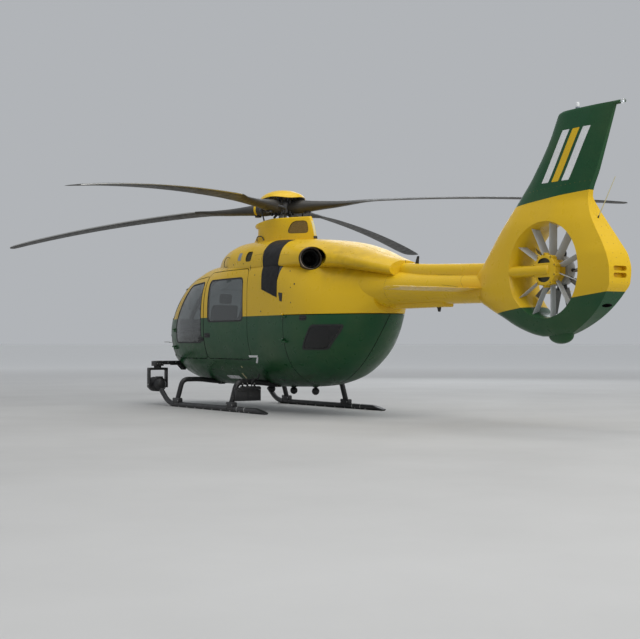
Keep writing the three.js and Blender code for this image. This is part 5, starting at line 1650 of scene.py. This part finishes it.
def build_belts(tag, x, y, reach, spot, node):
    """Two shoulder straps, a lap strap and its buckle."""
    parts = Parts()
    for side in BOTH:
        strap = [(0.68, side * 0.055, 0.1), (0.55, side * 0.06, 0.103), (0.35, side * 0.068, 0.104),
                 (0.16, side * 0.08, 0.104), (0.075, side * 0.085, 0.104)]
        parts.add(WEBBING, upright(ribbon(through(strap, 6), 0.044, 0.003), spot))
    lap = [(x - 0.02, y - reach, 0.985), (x, y - 0.12, 0.999), (x + 0.01, y, 1.001), (x, y + 0.12, 0.999),
           (x - 0.02, y + reach, 0.985)]
    parts.add(WEBBING, ribbon(through(lap, 6), 0.044, 0.003, (1, 0, 0)))
    parts.add(STEEL, rod(0.034, "z", (x + 0.01, y, 0), 0.998, 1.01, 32, 0.003))
    piece(f"{tag}_belts", parts, "seat_fabric", node)


def build_panel():
    top, foot = (2.18, 1.24), (2.33, 0.86)
    outline = [(2.48, 0.86), (2.56, 1.33), (2.24, 1.33), top, foot]
    desk = carve(solid(prism(rounded(outline, 0.02), "xz", -0.42, 0.42)), solid(body(POD, 0.045)), how="INTERSECT")
    finish(desk, "instrument_desk", BLACK_PLASTIC, "black_plastic", "instrument_panel", bevel=0.004)
    down = np.array([0.15, 0, -0.38]) / math.hypot(0.15, 0.38)
    out = Vector((-0.38, 0, -0.15)).normalized()

    def on_desk(form, y, drop=0.14):
        x, _, z = np.array([top[0], y, top[1]]) + down * drop
        return moved(form, Matrix(((0, down[0], out.x, x), (1, 0, 0, y), (0, down[2], out.z, z), (0, 0, 0, 1))))

    bezel = prism(rounded(oblong((-0.088, 0.088), (-0.105, 0.105)), 0.012), "xy", -0.004, 0.012)
    screen = prism(rounded(oblong((-0.074, 0.074), (-0.088, 0.088)), 0.006), "xy", 0, 0.0128)
    keys = [boxy((-0.06 + 0.022 * i, -0.048 + 0.022 * i), (0.092, 0.1), (0.01, 0.0145), 0.002) for i in range(6)]
    knob = rod(0.011, "z", (0, 0, 0), 0, 0.024, 24, 0.002)
    parts = Parts()
    for y in (-0.31, -0.105, 0.105, 0.31):
        parts.add(BLACK, on_desk(bezel, y))
        parts.add(SCREEN, on_desk(screen, y))
        parts.add(BLACK_PLASTIC, *[on_desk(key, y) for key in keys], on_desk(knob, y + 0.05, 0.28),
                  on_desk(knob, y - 0.05, 0.28))
        parts.add(BLACK, on_desk(rod(0.026, "z", (0, 0, 0), 0, 0.01, 32, 0.002), y, 0.29))
        parts.add(SCREEN, on_desk(rod(0.022, "z", (0, 0, 0), 0, 0.0106, 32), y, 0.29))
    parts.add(BLACK_PLASTIC, boxy((1.9, 2.48), (-0.13, 0.13), (FLOOR_TOP, 0.892), 0.03))
    for x in np.arange(1.96, 2.26, 0.085):
        for y in (-0.062, 0.062):
            parts.add(BLACK, boxy(about(x, 0.036), about(y, 0.054), (0.89, 0.899), 0.006))
            parts.add(BLACK_PLASTIC, *[rod(0.009, "z", (x, y + dy, 0), 0.897, 0.915, 20, 0.002)
                                       for dy in (-0.038, 0.038)])
    piece("instrument_fittings", parts, "black_plastic", "instrument_panel", bevel=0.001)
    build_controls()


def build_controls():
    """Sticks, levers and pedals of both front places."""
    parts = Parts()
    for y in (-PILOT_Y, PILOT_Y):
        stick = through([(1.99, y, 0.662), (1.985, y, 0.76), (1.94, y, 0.94), (1.9, y, 1.06)])
        grip = through([(1.902, y, 1.05), (1.89, y, 1.1), (1.88, y, 1.17)], 6)
        boot = [(0, 0.661), (0.055, 0.661), (0.04, 0.69), (0.02, 0.73), (0, 0.735)]
        parts.add(BLACK, tube(stick, 0.012, 16))
        parts.add(BLACK_PLASTIC, tube(grip, np.linspace(0.018, 0.022, 13), 16))
        parts.add(SEAL_AND_SHADE, lathe(boot, centre=(1.99, y, 0), sides=24))
        outer = y - 0.205 if y < 0 else y - 0.255
        lever = through([(1.3, outer, 0.72), (1.48, outer, 0.8), (1.66, outer, 0.9)])
        parts.add(BLACK, tube(lever, np.linspace(0.013, 0.019, 17), 16))
        for foot in (y - 0.075, y + 0.075):
            pedal = rounded([(2.3, 0.72), (2.312, 0.72), (2.352, 0.88), (2.34, 0.88)], 0.004)
            arm = through([(2.33, foot, 0.79), (2.4, foot, 0.76), (2.42, foot, 0.664)], 6)
            parts.add(BLACK, prism(pedal, "xz", *about(foot, 0.045)), tube(arm, 0.01))
    piece("cockpit_controls", parts, "black_metal", "instrument_panel", bevel=0.001)


# Small fittings

HINGES = {"front_door": (2.33, 0.672, (0.9, 1.18)), "tail_door": (-1.3, 0.78, (1.0, 1.35))}


def build_hinges():
    for door, (x, y, heights) in HINGES.items():
        leaf, post = Parts(), Parts()
        for z in heights:
            leaf.add(PAINT["pod"], rod(0.0135, "z", (x, y, 0), z, z + 0.03, 28, 0.002),
                     boxy((x - 0.08, x), (y - 0.05, y + 0.006), (z + 0.003, z + 0.027), 0.006))
            post.add(PAINT["pod"], rod(0.0135, "z", (x, y, 0), z + 0.0303, z + 0.06, 28, 0.002),
                     boxy((x, x + 0.08), (y - 0.05, y + 0.006), (z + 0.033, z + 0.057), 0.006))
            post.add(STEEL, rod(0.006, "z", (x, y, 0), z - 0.004, z + 0.064, 16, 0.001))
        pair(door + "_hinge_leaf_{}", leaf, "black_metal", door + "_{}", door + "_{}", bevel=0.001)
        pair(door + "_hinge_post_{}", post, "black_metal", "cabin_shell", bevel=0.001)


def build_door_fittings():
    """Handles, latches and rollers."""
    rise = [0.002, 0.012, 0.016, 0.017, 0.017, 0.017, 0.016, 0.012, 0.002]
    # door, x, z, length, body
    handles = [("front_door", 1.215, 1.06, 0.15, "front_door_{}"), ("sliding_door", 0.985, 1.12, 0.15, "airframe"),
               ("tail_door", -1.76, 1.345, 0.11, "tail_door_{}")]
    for kind, x, z, length, rides in handles:
        dish = rounded(oblong(about(x, length / 2 + 0.02), about(z, 0.035)), 0.03)
        ends = [POD_SURFACE.side(x + dx, z) for dx in np.linspace(-length / 2, length / 2, 9)]
        bar = [tuple(place + normal * up) for (place, normal), up in zip(ends, rise)]
        parts = Parts().add(SEAL_AND_SHADE, patch(POD_SURFACE, dish, 0.0012)).add(BLACK, tube(bar, 0.0075, 14, 0.8))
        pair(kind + "_handle_{}", parts, "black_plastic", rides=rides)
    latch = [(-1.178, 1.709), (-1.217, 1.589), (-1.274, 1.58), (-1.282, 1.699)]
    parts = Parts().add(BLACK_PLASTIC, patch(UPPER_SURFACE, rounded(latch, 0.01), 0.0035))
    parts.add(BLACK, patch(UPPER_SURFACE, rounded(latch, 0.008, -0.012), 0.0055))
    for x in (0.9, -0.1):
        parts.add(BLACK, boxy(about(x, 0.04), (0.648, 0.672), (0.745, 0.7647), 0.006),
                  rod(0.012, "y", (x, 0.66, 0.757), -0.018, 0.018, 24, 0.001))
    pair("door_latch_{}", parts, "black_plastic", "cabin_shell")


def build_lights():
    tail = [(0, 0), (0.017, 0.001), (0.0215, 0.008), (0.022, 0.05), (0.019, 0.062), (0.01, 0.07), (0, 0.072)]
    beacon = [(0, 3.59), (0.0195, 3.592), (0.02, 3.626), (0.016, 3.64), (0.008, 3.645), (0, 3.645)]
    parts = Parts().add(LENS, placed(turned(lathe(tail, "x", sides=32), 180, "Z"), -6.998, 0, 3.55))
    parts.add(PAINT["green"], rod(0.0225, "x", (0, 0, 3.55), -7.0, -6.9, 32, 0.002))
    parts.add(WHITE, lathe(beacon, centre=(-6.35, 0, 0), sides=40))
    parts.add(GREY_MARK_AND_HIGHLIGHT, rod(0.024, "z", (-6.35, 0, 0), 3.555, 3.591, 40, 0.003))
    piece("fin_lights", parts, "glass", "vertical_fin")


def build_aerials():
    whip = through([(-6.66, 0, 2.345), (-6.72, 0, 2.438), (-6.82, 0, 2.602), (-6.92, 0, 2.767)])
    lower = [(-3.905, 1.455), (-3.825, 1.455), (-3.85, 1.392), (-3.89, 1.392)]
    upper = [(-3.3, 1.9), (-3.42, 1.9), (-3.445, 2.12), (-3.405, 2.12)]
    parts = Parts().add(AMBER, tube(whip, np.linspace(0.006, 0.0035, len(whip)), 10))
    parts.add(BLACK_PLASTIC, tube(whip[:4], [0.009, 0.008, 0.007, 0.005], 14),
              prism(rounded(lower, 0.012), "xz", -0.005, 0.005), prism(rounded(upper, 0.012), "xz", -0.004, 0.004))
    piece("tail_aerials", parts, "black_plastic")


def build_nose_fittings():
    nearest = POD_SURFACE.tree.find_nearest

    def over_nose(start, end, count, lift):
        """A straight run laid on the nose, `lift` above it."""
        start, end = Vector(start), Vector(end)
        found = [nearest(start + (end - start) * t) for t in np.linspace(0, 1, count)]
        return [tuple(place + normal * lift) for place, normal, _, _ in found]

    wiper = over_nose((2.9, 0.1, 1.6), (2.3, 0.36, 2.02), 12, 0.012)
    blade = over_nose((2.52, 0.12, 1.86), (2.2, 0.6, 1.92), 14, 0.006)
    pivot, out, _, _ = nearest(Vector((2.92, 0.095, 1.585)))
    root, normal = POD_SURFACE.side(2.9, 1.02)
    probe = [tuple(root - normal * 0.01), tuple(root + normal * 0.045), (root.x + 0.05, root.y + 0.055, 1.02),
             (root.x + 0.2, root.y + 0.055, 1.02)]
    port = Parts().add(BLACK, tube(wiper, 0.006, 10)).add(SEAL_AND_SHADE, tube(blade, 0.007, 10))
    port.add(BLACK, set_on(rod(0.02, "z", (0, 0, 0), -0.01, 0.022, 24, 0.003), pivot, out))
    port.add(STEEL, tube(through(probe, 6), 0.008, 14))
    piece("nose_fittings", port.on(PORT) + port.on(STARBOARD), "black_metal")


def build_cowling_fittings():
    """Lines, marks and wire rings on the sides of the cowling and the cabin."""
    lines = [
        [(-0.4, 2.272), (-0.5, 2.283), (-0.59, 2.286)], [(-1.14, 2.24), (-1.25, 2.236), (-1.363, 2.227)],
        [(-1.499, 2.327), (-1.68, 2.32), (-1.855, 2.307)],
        [(0.408, 0.775), (0.23, 0.752), (0.051, 0.741), (-0.15, 0.738), (-0.351, 0.738)],
    ]
    spots = [(0.259, 2.171, 0.01), (-0.084, 2.168, 0.009), (-0.487, 1.986, 0.01), (-0.699, 1.453, 0.011),
             (-1.372, 2.004, 0.009), (-1.46, 1.77, 0.008), (-1.487, 1.561, 0.009), (-1.529, 1.816, 0.013)]
    mark = [(0.02, 2.22), (0.125, 2.222), (0.122, 2.338), (0.022, 2.336)]
    ring = [(0.425, 0.672, 2.287), (0.539, 0.664, 2.299), (0.613, 0.664, 2.236), (0.613, 0.668, 2.175),
            (0.54, 0.69, 2.148), (0.468, 0.694, 2.153)]
    loop = [(0.163, 0.352, 2.535), (0.13, 0.368, 2.585), (0.056, 0.372, 2.6), (-0.02, 0.368, 2.585),
            (-0.049, 0.352, 2.535)]
    port = Parts().add(SEAL_AND_SHADE, *[seam(UPPER_SURFACE, line) for line in lines])
    for x, z, radius in spots:
        button = [(0, -0.004), (radius, -0.004), (radius, 0.001), (radius * 0.8, 0.0022), (0, 0.0026)]
        port.add(BLACK, set_on(lathe(button, sides=24), *UPPER_SURFACE.side(x, z)))
    port.add(BLACK, patch(UPPER_SURFACE, oblong((-0.304, -0.316), (2.06, 2.134)), 0.0016))
    port.add(GREY_MARK_AND_HIGHLIGHT, patch(UPPER_SURFACE, rounded(mark, 0.02), 0.0012))
    port.add(BLACK, tube(through(ring), 0.0045, 10), tube(through(loop), 0.008))
    pair("cowling_fittings_{}", port, "black_plastic")
    rear = {"view": (1, 0, 0), "plane": "yz"}
    parts = Parts().add(AMBER, patch(FAIRING_SURFACE, oblong((-0.018, 0.018), (2.56, 2.78)), 0.002, **rear))
    parts.add(BLACK, patch(FAIRING_SURFACE, oblong((-0.024, 0.024), (2.515, 2.552)), 0.01, **rear))
    piece("fairing_rear_strip", parts, "black_plastic")


def build_fasteners():
    """Rows of flush fasteners along the cowlings, the fairing, the boom and the tail."""
    boom = Surface(body(BOOM))
    # surface, start, end, pitch, radius
    rows = [
        (UPPER_SURFACE, (-0.59, 2.08), (-0.59, 2.24), 0.05, 0.0035),
        (UPPER_SURFACE, (-0.655, 1.56), (-0.655, 1.74), 0.06, 0.0035),
        (UPPER_SURFACE, (-1.3, 2.06), (-2.1, 2.04), 0.07, 0.0035),
        (UPPER_SURFACE, (1.0, 2.18), (-0.56, 2.182), 0.075, 0.0035),
        (FAIRING_SURFACE, (0.15, 2.56), (-0.78, 2.56), 0.06, 0.0035),
        (FAIRING_SURFACE, (-0.45, 2.64), (-0.45, 2.78), 0.035, 0.0035),
        (FAIRING_SURFACE, (0.2, 2.73), (-0.43, 2.73), 0.05, 0.0035),
        (boom, (-3.3, 1.8), (-4.95, 1.755), 0.055, 0.0028), (boom, (-3.3, 1.56), (-4.9, 1.545), 0.055, 0.0028),
        (TAIL_SURFACE, (-5.0, 2.1), (-5.33, 2.47), 0.05, 0.003),
        (TAIL_SURFACE, (-5.56, 2.7), (-6.58, 2.76), 0.06, 0.003),
    ]
    pair("skin_fasteners_{}", [(joined(*[rivets(*row) for row in rows]), FASTENER)], "yellow_paint")
    places = [(0.019, 2.247), (-0.063, 2.155), (0.067, 2.065), (-0.017, 2.057), (0.089, 2.147), (-0.063, 2.268),
              (0.06, 1.95), (-0.06, 1.95), (0.03, 1.9), (-0.03, 1.64), (0.11, 1.64), (-0.11, 1.64),
              (0.09, 1.56), (-0.09, 1.56), (0.02, 1.53), (0.12, 1.86), (-0.12, 1.86)]
    hits = [TAIL_SURFACE.towards((-8.0, y, z), (1, 0, 0)) for y, z in places]
    piece("tail_edge_fasteners", [(studs([hit for hit in hits if hit], 0.0045, 0.0012), FASTENER)], "yellow_paint")


def build_pod_marks():
    """Small marks and plates low on the pod's side."""
    marks = [[(-0.21, 0.818), (-0.485, 0.82), (-0.455, 0.79), (-0.222, 0.789)],
             [(-0.48, 0.789), (-0.44, 0.789), (-0.345, 0.712), (-0.387, 0.702)]]
    marker = [(0.262, 0.55), (0.302, 0.545), (0.332, 0.464), (0.292, 0.468)]
    plate = rounded(oblong((0.47, 0.86), (0.455, 0.505)), 0.012)
    spot = lathe([(0, -0.004), (0.018, -0.004), (0.018, 0.0015), (0.013, 0.004), (0, 0.005)], sides=32)
    port = Parts().add(WHITE, *[patch(POD_SURFACE, mark, 0.0012) for mark in marks])
    port.add(AMBER, patch(POD_SURFACE, marker, 0.0015)).add(WHITE, patch(POD_SURFACE, plate, 0.0015))
    port.add(AMBER, set_on(spot, *POD_SURFACE.side(0.155, 0.642)))
    pair("pod_marks_{}", port, "grey_paint")


def build_tail_fittings():
    boom, cover = Surface(body(BOOM)), Surface(body(SHAFT_COVER))
    lines = [(cover, [(-3.943, 1.85), (-4.27, 1.834), (-4.597, 1.814)]),
             (boom, [(-4.466, 1.84), (-4.5, 1.76), (-4.56, 1.69), (-4.642, 1.62)]),
             (boom, [(-4.168, 1.714), (-4.4, 1.69), (-4.606, 1.649)]),
             (boom, [(-3.05, 1.9), (-3.05, 1.7), (-3.05, 1.54)])]
    pair("boom_lines_{}", [(seam(surface, line, 0.0018), SEAL_AND_SHADE) for surface, line in lines], "black_plastic")
    # A pale blue-grey strip along the oval recess's lower lip, a painted highlight where the lip catches the light.
    lip = [(-0.068, 1.376), (0.068, 1.376), (0.06, 1.366), (-0.06, 1.366)]
    piece("tail_recess_lip_highlight", [(patch(TAIL_SURFACE, lip, 0.003, view=(1, 0, 0), plane="yz"), GREY_MARK_AND_HIGHLIGHT)], "grey_paint")


def build_fin_bars():
    """Three slanted bars of plain colour on each side of the fin."""
    low, high, lean, width = 2.79, 3.35, 0.31, 0.108
    port = Parts()
    for start, material in ((-5.875, WHITE), (-6.035, PAINT["yellow"]), (-6.195, WHITE)):
        bar = [(start, low), (start - width, low), (start - width - lean, high), (start - lean, high)]
        port.add(material, patch(TAIL_SURFACE, rounded(bar, 0.012), 0.001))
    pair("fin_bars_{}", port, "yellow_paint")


def dress_cad_nodes():
    """Finishes of the solids that show as they are."""
    for name, material in (("cabin_floor", FLOORING), ("power_pack", ALLOY)):
        mesh = frame["nodes"][name].data
        for i in range(len(mesh.materials)):
            mesh.materials[i] = material
        if not mesh.materials:
            mesh.materials.append(material)


# Stage and camera

FLOOR_REACH = 2000.0


def build_stage():
    corners = [(x, y, 0) for x, y in oblong((-FLOOR_REACH, FLOOR_REACH), (-FLOOR_REACH, FLOOR_REACH))]
    floor = mesh_object("floor", (corners, [(0, 1, 2, 3)]), [0])
    wiring = Wiring("pale_floor", 0.75)
    away = wiring.node("ShaderNodeVectorMath", operation="LENGTH")
    wiring.join(wiring.place, away.inputs[0])
    near = wiring.mix(wiring.ramp(wiring.noise(0.6, 5), 0.3, 0.7), (0.4, 0.4, 0.395), (0.45, 0.45, 0.445))
    wiring.colour(wiring.mix(wiring.ramp(away.outputs["Value"], 8.0, 36.0), near, (0.95, 0.95, 0.94)))
    floor.data.materials.append(wiring.material)
    world = bpy.data.worlds.new("studio")
    world.use_nodes = True
    background = world.node_tree.nodes["Background"]
    background.inputs["Color"].default_value = (0.8, 0.83, 0.87, 1)
    background.inputs["Strength"].default_value = 0.55
    SCENE.world = world
    SCENE.view_settings.view_transform = "Standard"
    # name, place, size, power, colour
    lamps = [
        ("overhead", (-3.0, 0.0, 16.0), 18.0, 2000, (1.0, 0.99, 0.97)),
        ("key", (-20.0, -1.0, 9.0), 10.0, 1250, (1.0, 0.98, 0.95)),
        ("fill", (12.0, -12.0, 8.0), 8.0, 300, (0.92, 0.96, 1.0)),
    ]
    for name, place, width, power, colour in lamps:
        data = bpy.data.lights.new(name, "AREA")
        data.size = width
        data.energy = power
        data.color = colour
        lamp = linked(bpy.data.objects.new(name, data))
        lamp.location = place
        aim(lamp, Vector((0, 0, 1.2)) - Vector(place))
        lamp.visible_camera = False


def aim(obj, heading):
    obj.rotation_mode = "QUATERNION"
    obj.rotation_quaternion = heading.to_track_quat("-Z", "Y")


def build_camera():
    """The photograph's camera, solved from the aircraft's known layout."""
    data = bpy.data.cameras.new("camera")
    data.sensor_width = 36.0
    data.lens = 73.0
    data.shift_y = 0.038
    data.clip_end = 5000
    camera = linked(bpy.data.objects.new("camera", data))
    camera.location = (-16.882 + MAST_X, 10.019, 0.988)
    aim(camera, Vector((0.845, -0.535, 0.0)))
    SCENE.camera = camera


BUILDERS = [build_camera, build_stage, build_fuselage, build_black_band, build_cowling, build_tail, build_boom,
            build_stabiliser, build_rotor, build_fan, build_stator, build_skids, build_cross_tubes,
            build_searchlight_arm, build_searchlight_yoke, build_searchlight_lamp, build_equipment_box,
            build_belly_aerials, build_seats, build_panel, build_hinges, build_door_fittings, build_lights,
            build_aerials, build_nose_fittings, build_cowling_fittings, build_fasteners, build_tail_fittings,
            build_pod_marks, build_fin_bars, dress_cad_nodes]
for build in BUILDERS:
    build()
